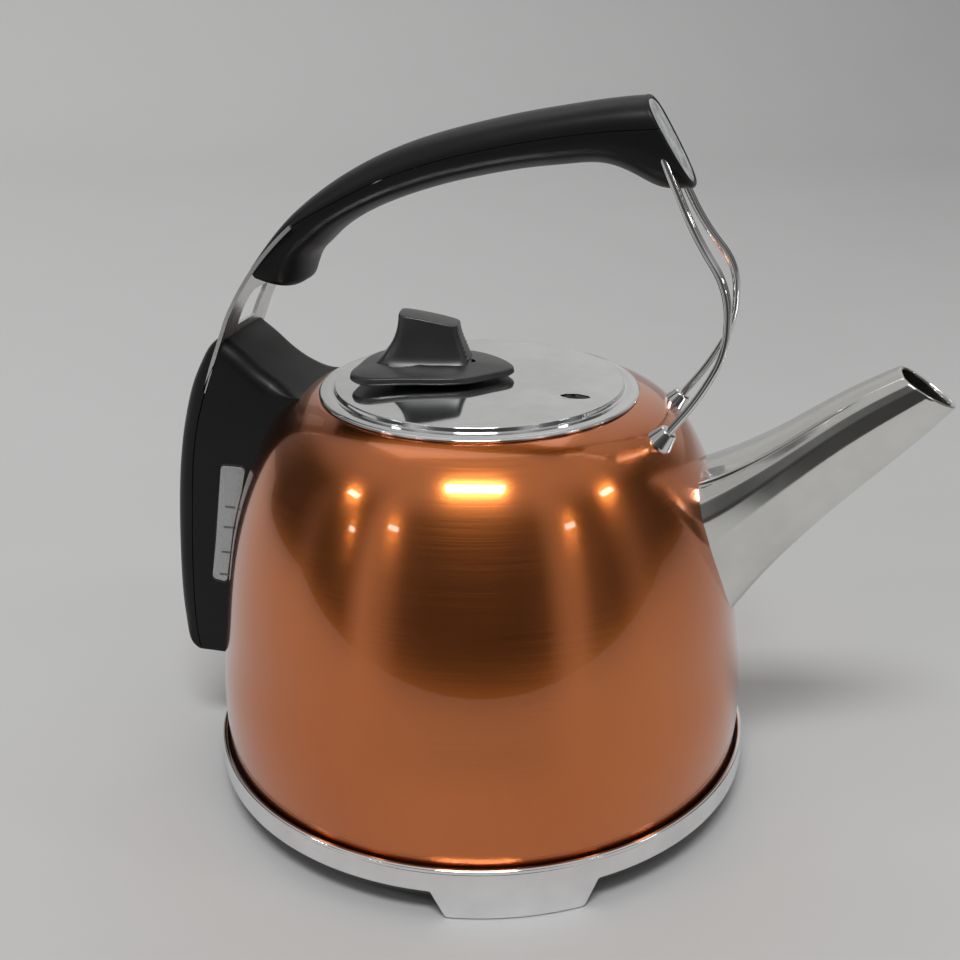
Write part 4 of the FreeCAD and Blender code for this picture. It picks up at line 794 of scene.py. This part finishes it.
def trim(P, front_back, heel_back, n=150):
    q = P[:, [0, 2]]
    df = plane(END_TOP, END_LOW, q)              # positive in front of the end plane
    dh = plane(HEEL_A, HEEL_B, q)                # positive above the heel plane
    if df[0] < 0:
        df = -df
    s = chord(P)
    i = int(np.argmax(df < front_back))
    w = (df[i - 1] - front_back) / (df[i - 1] - df[i])
    s0 = s[i - 1] + (s[i] - s[i - 1]) * w
    above = dh if dh[NL // 2] > 0 else -dh
    j = NL // 2 + int(np.argmax(above[NL // 2:] < heel_back))
    if above[j] >= heel_back:
        s1 = s[-1]
    else:
        w = (above[j - 1] - heel_back) / (above[j - 1] - above[j])
        s1 = s[j - 1] + (s[j] - s[j - 1]) * w
    ss = np.linspace(s0, s1, n)
    return np.stack([np.interp(ss, s, P[:, k]) for k in range(3)], 1)


dF = (END_LOW - END_TOP) / np.linalg.norm(END_LOW - END_TOP)
nF = np.array((-dF[1], 0, dF[0]))                  # out of the front face
if nF[0] < 0:
    nF = -nF
dH = (HEEL_B - HEEL_A) / np.linalg.norm(HEEL_B - HEEL_A)
nH = np.array((dH[1], 0, -dH[0]))
if nH[2] > 0:
    nH = -nH


def half_thetas(lo, hi, sgn):
    th = np.linspace(lo, hi, 72)
    rows = [(lo, 0.55, sgn * 0.07), (lo, 0.16, sgn * 0.09)]
    for t_ in th:
        lift = sgn * 0.22 * max(0.0, 1 - min(t_ - lo, hi - t_) / 0.10)
        rows.append((t_, 0.0, lift))
    rows += [(hi, 0.16, sgn * 0.09), (hi, 0.55, sgn * 0.07)]
    return rows


FRONT_R, HEEL_R = 1.2, 3.0
whole_front = []
for nm_, lo, hi, sgn, node in (("handle_top_half", 0.0, math.pi, 1, "handle_upper_shell"),
                               ("handle_low_half", math.pi, 2 * math.pi, -1, "handle_lower_shell")):
    hb = Build()
    th = half_thetas(lo, hi, sgn)
    lines = [trim(P, -FRONT_R, HEEL_R if sgn < 0 else 1.6) for P in handle_half(th)]
    G = np.array(lines)                            # theta, along, 3
    front_c = np.array((65.2, 0.0, 243.6))
    # front lip rounds over to the recessed inset
    ends = G[:, 0]
    rows = [ends]
    to_c = front_c - ends
    to_c -= np.outer(to_c @ nF, nF)
    to_c /= np.linalg.norm(to_c, axis=1)[:, None]
    for ang in (25, 50, 75, 90):
        a_r = math.radians(ang)
        rows.append(ends + to_c * FRONT_R * 0.75 * (1 - math.cos(a_r)) + nF * FRONT_R * math.sin(a_r))
    last = rows[-1]
    rows.append(last + to_c * 0.55)
    rows.append(last + to_c * 0.75 - nF * 0.6)
    rows.append(last + to_c * 0.80 - nF * 1.2)
    lip = np.array(rows[1:]).transpose(1, 0, 2)
    whole_front.append(last[2:-2] + to_c[2:-2] * 0.80)
    # heel rounds over
    hend = G[:, -1]
    hr = HEEL_R if sgn < 0 else 1.6
    ctr = np.array((-70.0, 0.0, 191.6)) if sgn < 0 else np.array((-82.0, 0.0, 196.4))
    to_h = ctr - hend
    to_h -= np.outer(to_h @ nH, nH)
    dist = np.linalg.norm(to_h, axis=1)
    to_h /= np.maximum(dist, 1e-6)[:, None]
    rows = []
    for ang in (15, 30, 45, 60, 75, 90):
        a_r = math.radians(ang)
        rows.append(hend + to_h * np.minimum(hr * (1 - math.cos(a_r)), dist * 0.9)[:, None] + nH * hr * math.sin(a_r) * 0.98)
    lastr = rows[-1]
    cc_ = lastr.mean(0)
    for k in (0.7, 0.35, 0.0):
        rows.append(cc_ + (lastr - cc_) * k)
    heel = np.array(rows).transpose(1, 0, 2)
    G2 = np.concatenate([lip[:, ::-1], G, heel], 1)
    hb.grid(G2, False, False)
    hb.make(nm_, "kettle", ["black_satin"], [node], sharp=36)

# inset of the slanted end
ring = np.vstack([whole_front[0], whole_front[1]])
cc_ = ring.mean(0)
cb = Build()
rows = [ring - nF * 0.9]
for k, d in ((0.995, -0.45), (0.975, -0.30), (0.8, -0.22), (0.5, -0.16), (0.2, -0.13), (0.0, -0.12)):
    rows.append(cc_ + (ring - cc_) * k + nF * d)
cb.grid(np.array(rows), False, True)
cb.make("handle_inset", "kettle", ["grey_cap"], ["handle_end_cap"], sharp=40)

# ------------------------------------------------------------------ front rods and their feet
ROD = [(63.4, 9.2, 239.5), (75.9, 12.6, 214.2), (88.2, 18.8, 198.0), (88.6, 20.6, 178.0), (80.6, 21.0, 161.6),
       (68.9, 21.0, 145.9)]
for s_, node in ((1, "front_rods_left"), (-1, "front_rods_right")):
    rb = Build()
    for k in (-0.5, 0.5):
        path = arc_path([(x, s_ * (y + k * 2.7), z) for x, y, z in ROD])
        rb.grid(tube(path, 1.25, 32), False, True)
    rb.make("rods_" + ("left" if s_ > 0 else "right"), "kettle", ["chrome_rod"], [node], sharp=60)
d = np.array((ROD[-2][0] - ROD[-1][0], 0, ROD[-2][2] - ROD[-1][2]))
d = d / np.linalg.norm(d)
ferr = fillet([(0.6, -2.6), (4.75, -2.6), (4.9, -0.6), (3.6, 3.2), (3.15, 4.6), (2.4, 5.05), (0.9, 5.05)],
              [0, 0.3, 0.7, 1.5, 0.6, 0.4, 0], 6)
fb2 = Build()
for s_ in (1, -1):
    fb2.grid(placed(revolve(ferr, 96), (ROD[-1][0], s_ * ROD[-1][1], ROD[-1][2]), d), True)
fb2.make("rod_ferrules", "kettle", ["chrome_rod"], ["rod_feet"], sharp=40)

# ------------------------------------------------------------------ control housing
REAR = [(-113.5, 38.4), (-117.6, 41.2), (-119.9, 48.0), (-120.6, 58.6), (-119.9, 78.9), (-118.3, 98.7), (-115.9, 117.8),
        (-113.5, 130.4), (-110.3, 142.7), (-106.4, 153.6), (-102.4, 161.4), (-97.8, 168.0), (-92.6, 171.6)]
HORN = [(-89.6, 169.0), (-84.6, 165.2), (-78.9, 160.2), (-70.7, 154.9), (-64.4, 151.6), (-56.0, 148.5)]
H, R = 20.0, 6.5
outl = np.vstack([[(-96.0, 38.4), (-104.0, 38.4), (-110.0, 38.4)], curve(REAR, 120), curve(HORN, 70)])
outl = fillet([tuple(p) for p in outl], 0.0, 1)
t_o = chord(outl)
keep_ = np.r_[True, np.diff(t_o) > 1e-6]
outl, t_o = outl[keep_], t_o[keep_]
ss = np.linspace(0, t_o[-1], 300)
outl = np.stack([np.interp(ss, t_o, outl[:, 0]), np.interp(ss, t_o, outl[:, 1])], 1)
for _ in range(3):                                  # soften the joins between the runs
    sm = outl.copy()
    sm[1:-1] = (outl[:-2] + 2 * outl[1:-1] + outl[2:]) / 4
    outl = sm
to = np.gradient(outl, axis=0)
no = np.stack([to[:, 1], -to[:, 0]], 1)
no /= np.linalg.norm(no, axis=1)[:, None]          # inward: the outline runs up the back and down the horn
mid = np.array((-100.0, 100.0))
if (mid - outl[150]) @ no[150] < 0:
    no = -no
def body_x(z, y):
    r = float(body_r(min(max(z, 18.6), 152.8)))
    return -math.sqrt(max(r * r - y * y, 1.0))


def body_z(x, y):
    r = math.hypot(x, y)
    k = int(np.argmax(_out[:, 0]))
    return float(np.interp(-r, -_out[k:, 0], _out[k:, 1])) if r > 58.4 else 152.9


def inner_path(y):
    """Line on the copper body, in the plane y, from the housing's bottom to the horn's tip."""
    pts = [(body_x(z, y), z) for z in np.linspace(38.4, 128.0, 60)]
    x0 = pts[-1][0]
    pts += [(x, body_z(x, y)) for x in np.linspace(x0 + 0.5, -50.0, 60)]
    return np.array(pts)


ip = inner_path(H)


def to_path(p, path):
    """Distance from a point to a polyline, and the place along it."""
    a, b = path[:-1], path[1:]
    ab = b - a
    w = np.clip(((p - a) * ab).sum(1) / np.maximum((ab * ab).sum(1), 1e-12), 0, 1)
    q = a + ab * w[:, None]
    d = np.linalg.norm(q - p, axis=1)
    i = int(np.argmin(d))
    return d[i], i, q[i]


# the outline ends where, in the side planes, it sinks under the copper
k_end = next(k for k in range(200, 300) if outl[k, 1] < body_z(outl[k, 0], H) + 0.25)
foot = np.zeros_like(outl)                         # where the rounding of the edge meets the side plane
valid = np.ones(300, bool)
for k in range(300):
    gap = 99.0 if k < 120 else to_path(outl[k], ip)[0] if k < k_end else 0.0
    d_ = min(R, max(0.3, 0.62 * gap))
    if k < 120:                                     # the bottom edge is rounded less than the back
        d_ = min(d_, 2.0 + (R - 2.0) * min(1.0, max(0.0, (outl[k, 1] - 38.6) / 14.0)))
    foot[k] = outl[k] + no[k] * d_
    valid[k] = to_path(foot[k], outl)[0] > d_ - 0.08 or k >= k_end
ok = np.nonzero(valid)[0]
for a_ in (0, 1):
    foot[:, a_] = np.interp(np.arange(300), ok, foot[ok, a_])
foot[:, 1] = np.where(np.arange(300) < 120, np.maximum(foot[:, 1], 38.9), foot[:, 1])


def housing_row(k):
    """Half section (y >= 0) of the housing's skin at outline index k: from the middle of the back to the side plane."""
    p, q = outl[k], foot[k]
    pts = []
    for y in np.linspace(0, H - R, 10):
        crown = 0.35 * (y / (H - R)) ** 2
        pts.append((p[0] + no[k][0] * crown, y, p[1] + no[k][1] * crown))
    c0 = p + no[k] * 0.35
    for a in np.linspace(0, math.pi / 2, 14)[1:]:
        w = 1 - math.cos(a)
        pts.append((c0[0] + (q[0] - c0[0]) * w, H - R + R * math.sin(a), c0[1] + (q[1] - c0[1]) * w))
    return np.array(pts)


rowsH = np.array([housing_row(k) for k in range(300)])
full = np.concatenate([rowsH[:, ::-1][:, :-1] * [1, -1, 1], rowsH], 1)
top_k = int(np.argmin(np.hypot(outl[:, 0] + 91.8, outl[:, 1] - 171.4)))
bot_k = int(np.argmax(outl[:, 1] > 38.6))
rear = full[:top_k + 1].copy()

# parting line between cover and housing, on the side planes
PART_LINE = np.array([(-92.6, 166.6), (-95.4, 160.4), (-99.8, 149.8), (-103.4, 139.4), (-106.6, 126.3), (-109.4, 105.9),
                      (-111.9, 79.9), (-113.0, 60.0), (-113.0, 48.0), (-112.4, 40.9)])
part = curve(PART_LINE, 90)
foot[top_k - 6:top_k + 7] = np.array([foot[top_k - 6] + (foot[top_k + 6] - foot[top_k - 6]) * w for w in np.linspace(0, 1, 13)])
part[0] = foot[top_k]
for k in range(len(part)):
    d_, i_, q_ = to_path(part[k], foot[:top_k + 1])
    n_ = part[k] - q_
    if part[k, 0] < q_[0] + 0.5 or d_ < 0.5:
        part[k] = q_ + np.array((0.5, 0.0))
start_k = to_path(part[-1], foot[:100])[1]


def fill_side(build, loop, hole=None):
    """Plane, triangulated faces at y = +H and y = -H inside a closed XZ loop, with an optional hole."""
    L = np.asarray(loop, float)
    keep = np.linalg.norm(L - np.roll(L, 1, 0), axis=1) > 0.02
    L = L[keep]
    holes = [np.asarray(hole, float)] if hole is not None else []
    allp = np.vstack([L] + holes)
    edges, faces = [], []
    o = 0
    for ring in [L] + holes:
        m_ = len(ring)
        edges += [(o + i, o + (i + 1) % m_) for i in range(m_)]
        o += m_
    from mathutils.geometry import delaunay_2d_cdt
    vco, ve, vf, ov, oe, of_ = delaunay_2d_cdt([Vector(p) for p in allp], edges, [], 1, 1e-5)
    P = np.array([(v.x, v.y) for v in vco])
    good = []
    for f_ in vf:
        c_ = P[list(f_)].mean(0)
        if inside(c_, L) and not any(inside(c_, h_) for h_ in holes):
            good.append((f_[0], f_[1], f_[2], f_[2]))
    F = np.array(good)
    for s_ in (1, -1):
        V_ = np.column_stack([P[:, 0], np.full(len(P), s_ * H), P[:, 1]])
        build.v.append(V_)
        build.f.append(F + build.n)
        build.m.append(np.full(len(F), 0))
        build.n += len(V_)


def inside(p, L):
    x, z = L[:, 0], L[:, 1]
    x2, z2 = np.roll(x, -1), np.roll(z, -1)
    cr = (z > p[1]) != (z2 > p[1])
    with np.errstate(divide="ignore", invalid="ignore"):
        xi = x + (p[1] - z) * (x2 - x) / (z2 - z)
    return bool((cr & (p[0] < xi)).sum() % 2)


def not_switch(C):
    return ~((np.abs(C[:, 1]) < 8.5) & (C[:, 2] > 51.4) & (C[:, 2] < 72.6) & (C[:, 0] < -112))


SEAM_W = 0.22
rb = Build()
rb.grid(rear, False, False, keep=not_switch)
tan_p = np.gradient(part, axis=0)
nrm_p = np.stack([-tan_p[:, 1], tan_p[:, 0]], 1)
nrm_p /= np.linalg.norm(nrm_p, axis=1)[:, None]
if nrm_p[45, 0] < 0:
    nrm_p = -nrm_p                                   # towards the kettle
taper = np.clip(np.arange(len(part)) / 8.0, 0.05, 1)[:, None]
rear_edge = part - nrm_p * SEAM_W * taper
front_edge = part + nrm_p * SEAM_W * taper
bot_rear = foot[start_k]
fill_side(rb, np.vstack([foot[start_k:top_k + 1], rear_edge]))
for sg in (1, -1):                                   # edges turned in along the seam
    e0 = np.column_stack([rear_edge[:, 0], np.full(len(part), sg * H), rear_edge[:, 1]])
    rb.grid(np.stack([e0, e0 + [0.10, -sg * 0.2, 0], e0 + [0.12, -sg * 1.4, 0]], 1))
ys = np.linspace(-8.5, 8.5, 12)
loop = [(y, 51.4) for y in ys] + [(8.5, z) for z in np.linspace(51.4, 72.6, 14)[1:]] + \
       [(y, 72.6) for y in ys[::-1][1:]] + [(-8.5, z) for z in np.linspace(72.6, 51.4, 14)[1:-1]]
bk = outl[bot_k:top_k]


def back_x(z):
    o = np.argsort(bk[:, 1])
    return float(np.interp(z, bk[o, 1], bk[o, 0]))


l0 = np.array([(back_x(z) + 0.05, y, z) for y, z in loop])
rb.grid(np.array([l0 + [-0.12, 0, 0], l0 + [0.3, 0, 0], l0 + [3.0, 0, 0], l0 + [6.0, 0, 0]]), False, True)
# thin raised frame round the switch opening
big = np.array([(back_x(z) - 0.10, y * 1.14, 62 + (z - 62) * 1.11) for y, z in loop])
rb.grid(np.array([l0 + [-0.12, 0, 0], big, big + [0.5, 0, 0]]), False, True)
rb.make("housing_back", "kettle", ["black_satin"], ["housing_rear_cover"], sharp=38)

fb3 = Build()
fb3.grid(full[top_k:])
tip = to_path(outl[k_end], ip)[1]
window_hole = None
low_run = np.array([q for q in foot[:start_k + 1] if q[0] < -98.4])
ip_low = int(np.argmax(ip[:, 1] > foot[4, 1] + 0.1))
fill_side(fb3, np.vstack([front_edge[::-1], foot[top_k:k_end], ip[ip_low:tip + 1][::-1] + [0.6, 0.0],
                          [(ip[ip_low][0] + 0.6, foot[4, 1])], low_run]))
for sg in (1, -1):
    e0 = np.column_stack([front_edge[:, 0], np.full(len(part), sg * H), front_edge[:, 1]])
    fb3.grid(np.stack([e0, e0 + [-0.10, -sg * 0.2, 0], e0 + [-0.12, -sg * 1.4, 0]], 1))
    # dark floor of the seam, a little below the skin
    g0 = np.column_stack([part[:, 0] - 0.9, np.full(len(part), sg * (H - 1.0)), part[:, 1]])
    g1 = np.column_stack([part[:, 0] + 0.9, np.full(len(part), sg * (H - 1.0)), part[:, 1]])
    fb3.grid(np.stack([g0, g1], 1))
fb3.make("housing_front", "kettle", ["black_satin"], ["housing_body"], sharp=38)

# water windows: rounded panes with printed marks in both sides
corners = [(-95.9, 121.9), (-85.6, 121.9), (-88.0, 112.0), (-92.6, 95.0), (-95.6, 83.0), (-98.0, 71.4), (-104.3, 72.4),
           (-101.3, 90.0)]
pane = fillet(corners, [1.6, 1.6, 8, 8, 8, 1.6, 1.6, 12], 8, closed=True)
pc = pane.mean(0)
wb, gb, tb = Build(), Build(), Build()
for s_ in (1, -1):
    def ringp(k, y):
        q = pc + (pane - pc) * (1 - k / np.linalg.norm(pane - pc, axis=1)[:, None])
        return np.column_stack([q[:, 0], np.full(len(q), s_ * y), q[:, 1]])
    wb.grid(np.array([ringp(0.5, 19.4), ringp(0.55, 19.95), ringp(0.8, 20.12), ringp(1.2, 20.18)]), False, True)
    wb.fan(ringp(1.2, 20.18), (pc[0], s_ * 20.2, pc[1]))
    gb.grid(np.array([ringp(-0.35, 19.9), ringp(-0.30, 20.03), ringp(0.6, 20.05)]), False, True)
    for z in (104.5, 95.9, 85.1, 75.3):
        xl = float(np.interp(z, [72.4, 90.0, 121.9], [-104.3, -101.3, -95.9])) + 3.2
        for x0, x1 in ((xl, xl + 4.2),):
            tb.grid(np.array([[(x0, s_ * 20.235, z - 0.42), (x1, s_ * 20.235, z - 0.40)],
                              [(x0, s_ * 20.235, z + 0.42), (x1, s_ * 20.235, z + 0.44)]]))
wb.make("window_panes", "kettle", ["gauge_window"], ["water_windows"], sharp=50)
gb.make("window_gaskets", "kettle", ["rubber_foot"])
marks = tb.make("window_marks", "kettle", ["rubber_foot"])
marks.data.materials[0] = MAT["gauge_print"]

# ------------------------------------------------------------------ small bevels on the CAD pieces that show
for n_, wdt in (("handle_bracket", 0.3), ("switch_rocker", 0.45), ("switch_frame", 0.4), ("base_top_plate", 0.3),
                ("base_pan", 0.3), ("cord_inlet_bush", 0.5), ("indicator_lens", 0.2), ("bottom_collar", 0.15)):
    bv = NODES[n_].modifiers.new("edge", "BEVEL")
    bv.width = wdt * MM
    bv.segments = 3
    bv.limit_method = "ANGLE"
    bv.angle_limit = math.radians(40)
    bv.use_clamp_overlap = True

# ------------------------------------------------------------------ camera, stage, light
C = Vector((0.1131, -0.4223, 0.2961))
bk_ = Vector((0.23944, -0.89361, 0.37963)).normalized()
rt = Vector((0.96593, 0.25882, 0.0))
upc = Vector((-0.09826, 0.36670, 0.92515))
roll = math.radians(-0.53)
r2 = rt * math.cos(roll) + upc * math.sin(roll)
u2 = -rt * math.sin(roll) + upc * math.cos(roll)
cam = bpy.data.cameras.new("view")
cam.lens = 47.25
cam.sensor_width = 36
cam.clip_start, cam.clip_end = 0.01, 20
co = bpy.data.objects.new("view", cam)
co.matrix_world = Matrix(((r2.x, u2.x, bk_.x, C.x), (r2.y, u2.y, bk_.y, C.y), (r2.z, u2.z, bk_.z, C.z), (0, 0, 0, 1)))
bpy.context.scene.collection.objects.link(co)
bpy.context.scene.camera = co


def stage_mat(name, col, rough, scale=6.0):
    m, nt, b = new_mat(name)
    v = coords(nt)
    nt.links.new(ramp(nt, noise_tex(nt, v, scale, 4), [(0.3, tuple(c_ * 0.97 for c_ in col)), (0.7, col)]),
                 b.inputs["Base Color"])
    b.inputs["Roughness"].default_value = rough
    return m


stage_mat("floor_pale", (0.545, 0.546, 0.545), 0.62)
# pale table top that curves up a little far behind the object
fm = bpy.data.meshes.new("floor")
bm = bmesh.new()
prof_f = [(-0.36, -0.0002), (1.6, -0.0002)] + [(1.6 + 0.9 * math.sin(a), 0.9 - 0.9 * math.cos(a) - 0.0002)
                                            for a in np.linspace(0.1, 1.0, 14)]
dirb = Vector((-bk_.x, -bk_.y, 0)).normalized()
sd = Vector((dirb.y, -dirb.x, 0))
cols = []
for w in (-4, 4):
    cols.append([bm.verts.new(dirb * p[0] + sd * w + Vector((0, 0, p[1]))) for p in prof_f])
for i in range(len(prof_f) - 1):
    fc_ = bm.faces.new([cols[0][i], cols[1][i], cols[1][i + 1], cols[0][i + 1]])
    fc_.smooth = True
bm.to_mesh(fm)
bm.free()
fo = bpy.data.objects.new("floor", fm)
# painted light: the table's colour is blended paler towards the far left corner, standing in for brighter light there
nt = MAT["floor_pale"].node_tree
fb_ = next(n for n in nt.nodes if n.type == "BSDF_PRINCIPLED")
src = fb_.inputs["Base Color"].links[0].from_socket
tcf = nt.nodes.new("ShaderNodeTexCoord")
dot = nt.nodes.new("ShaderNodeVectorMath")
dot.operation = "DOT_PRODUCT"
nt.links.new(tcf.outputs["Object"], dot.inputs[0])
dot.inputs[1].default_value = dirb * 0.22 - sd * 0.45
painted_light_ramp = nt.nodes.new("ShaderNodeMapRange")
painted_light_ramp.inputs["From Min"].default_value = 0.02
painted_light_ramp.inputs["From Max"].default_value = 1.1
nt.links.new(dot.outputs["Value"], painted_light_ramp.inputs["Value"])
painted_light_mix = nt.nodes.new("ShaderNodeMix")
painted_light_mix.data_type = "RGBA"
nt.links.new(painted_light_ramp.outputs[0], painted_light_mix.inputs["Factor"])
nt.links.new(src, painted_light_mix.inputs["A"])
painted_light_mix.inputs["B"].default_value = (0.90, 0.90, 0.895, 1)
nt.links.new(painted_light_mix.outputs["Result"], fb_.inputs["Base Color"])
fm.materials.append(MAT["floor_pale"])
bpy.context.scene.collection.objects.link(fo)

# room: pale walls behind, a darker room with soft vertical bands in front, pale ceiling
w = bpy.data.worlds.new("studio")
bpy.context.scene.world = w
w.use_nodes = True
nt = w.node_tree
nt.nodes.clear()
wo = nt.nodes.new("ShaderNodeOutputWorld")
bg = nt.nodes.new("ShaderNodeBackground")
nt.links.new(bg.outputs[0], wo.inputs[0])
tcw = nt.nodes.new("ShaderNodeTexCoord")
sx = nt.nodes.new("ShaderNodeSeparateXYZ")
nt.links.new(tcw.outputs["Generated"], sx.inputs[0])


def math_node(op, a, b=None):
    n = nt.nodes.new("ShaderNodeMath")
    n.operation = op
    for i, q in enumerate((a, b)):
        if q is None:
            continue
        if isinstance(q, (int, float)):
            n.inputs[i].default_value = q
        else:
            nt.links.new(q, n.inputs[i])
    return n.outputs[0]


az = math_node("ARCTAN2", sx.outputs["X"], math_node("MULTIPLY", sx.outputs["Y"], -1.0))
az01 = math_node("ADD", math_node("MULTIPLY", az, 0.5 / math.pi), 0.5)
el01 = math_node("ADD", math_node("MULTIPLY", math_node("ARCSINE", sx.outputs["Z"]), 1 / math.pi), 0.5)
BANDS = [(-180, 0.58), (-150, 0.44), (-128, 0.18), (-112, 0.10), (-96, 0.035), (-80, 0.04), (-69, 0.14), (-61, 0.05), (-46, 0.07),
         (-37, 0.50), (-29, 0.34), (-19, 0.09), (-8, 0.055), (12, 0.045), (30, 0.045), (42, 0.07), (50, 0.34), (57, 0.38),
         (64, 0.12), (76, 0.07), (88, 0.20), (97, 0.08), (110, 0.035), (122, 0.04), (134, 0.12), (150, 0.44), (180, 0.58)]
band = ramp(nt, az01, [((a_d + 180) / 360, (v_, v_ * 0.99, v_ * 0.965)) for a_d, v_ in BANDS])
HIGH = [(-90, 0.0), (-3, 0.0), (30, 0.08), (40, 0.55), (55, 1.0), (90, 1.0)]
high = ramp(nt, el01, [((e_d + 90) / 180, (v_, v_, v_)) for e_d, v_ in HIGH])
mixw = nt.nodes.new("ShaderNodeMix")
mixw.data_type = "RGBA"
nt.links.new(high, mixw.inputs["Factor"])
nt.links.new(band, mixw.inputs["A"])
mixw.inputs["B"].default_value = (0.50, 0.50, 0.50, 1)
nt.links.new(mixw.outputs["Result"], bg.inputs["Color"])
bg.inputs["Strength"].default_value = 1.0


def panel(name, azi, ele, dist, sx_, sy_, power, color=(1, 1, 1)):
    """Rectangular lamp seen from the object at that azimuth (from -Y towards +X) and elevation."""
    li = bpy.data.lights.new(name, "AREA")
    li.shape = "RECTANGLE"
    li.size, li.size_y = sx_, sy_
    li.energy = power
    li.color = color
    o = bpy.data.objects.new(name, li)
    a, e = math.radians(azi), math.radians(ele)
    at = Vector((math.sin(a) * math.cos(e), -math.cos(a) * math.cos(e), math.sin(e))) * dist + Vector((0, 0, 0.12))
    o.location = at
    o.rotation_euler = (Vector((0, 0, 0.12)) - at).to_track_quat("-Z", "Y").to_euler()
    bpy.context.scene.collection.objects.link(o)
    return o


panel("ceiling_main", 10.7, 62, 2.4, 0.95, 0.42, 30)
panel("ceiling_left", -57, 32, 2.6, 0.30, 0.17, 2.4)
panel("ceiling_right", 87, 32, 2.6, 0.34, 0.18, 2.6)
panel("lamp_a", -48, 17, 3.0, 0.16, 0.10, 0.6)
panel("lamp_b", -28, 24, 3.0, 0.26, 0.11, 1.0)
panel("lamp_c", 59, 24, 3.0, 0.26, 0.12, 1.0)
panel("back_soft", 200, 58, 2.4, 1.6, 1.2, 4.5)

bpy.context.scene.view_settings.view_transform = "Standard"
bpy.context.scene.view_settings.look = "None"
bpy.context.scene.view_settings.exposure = 0.0
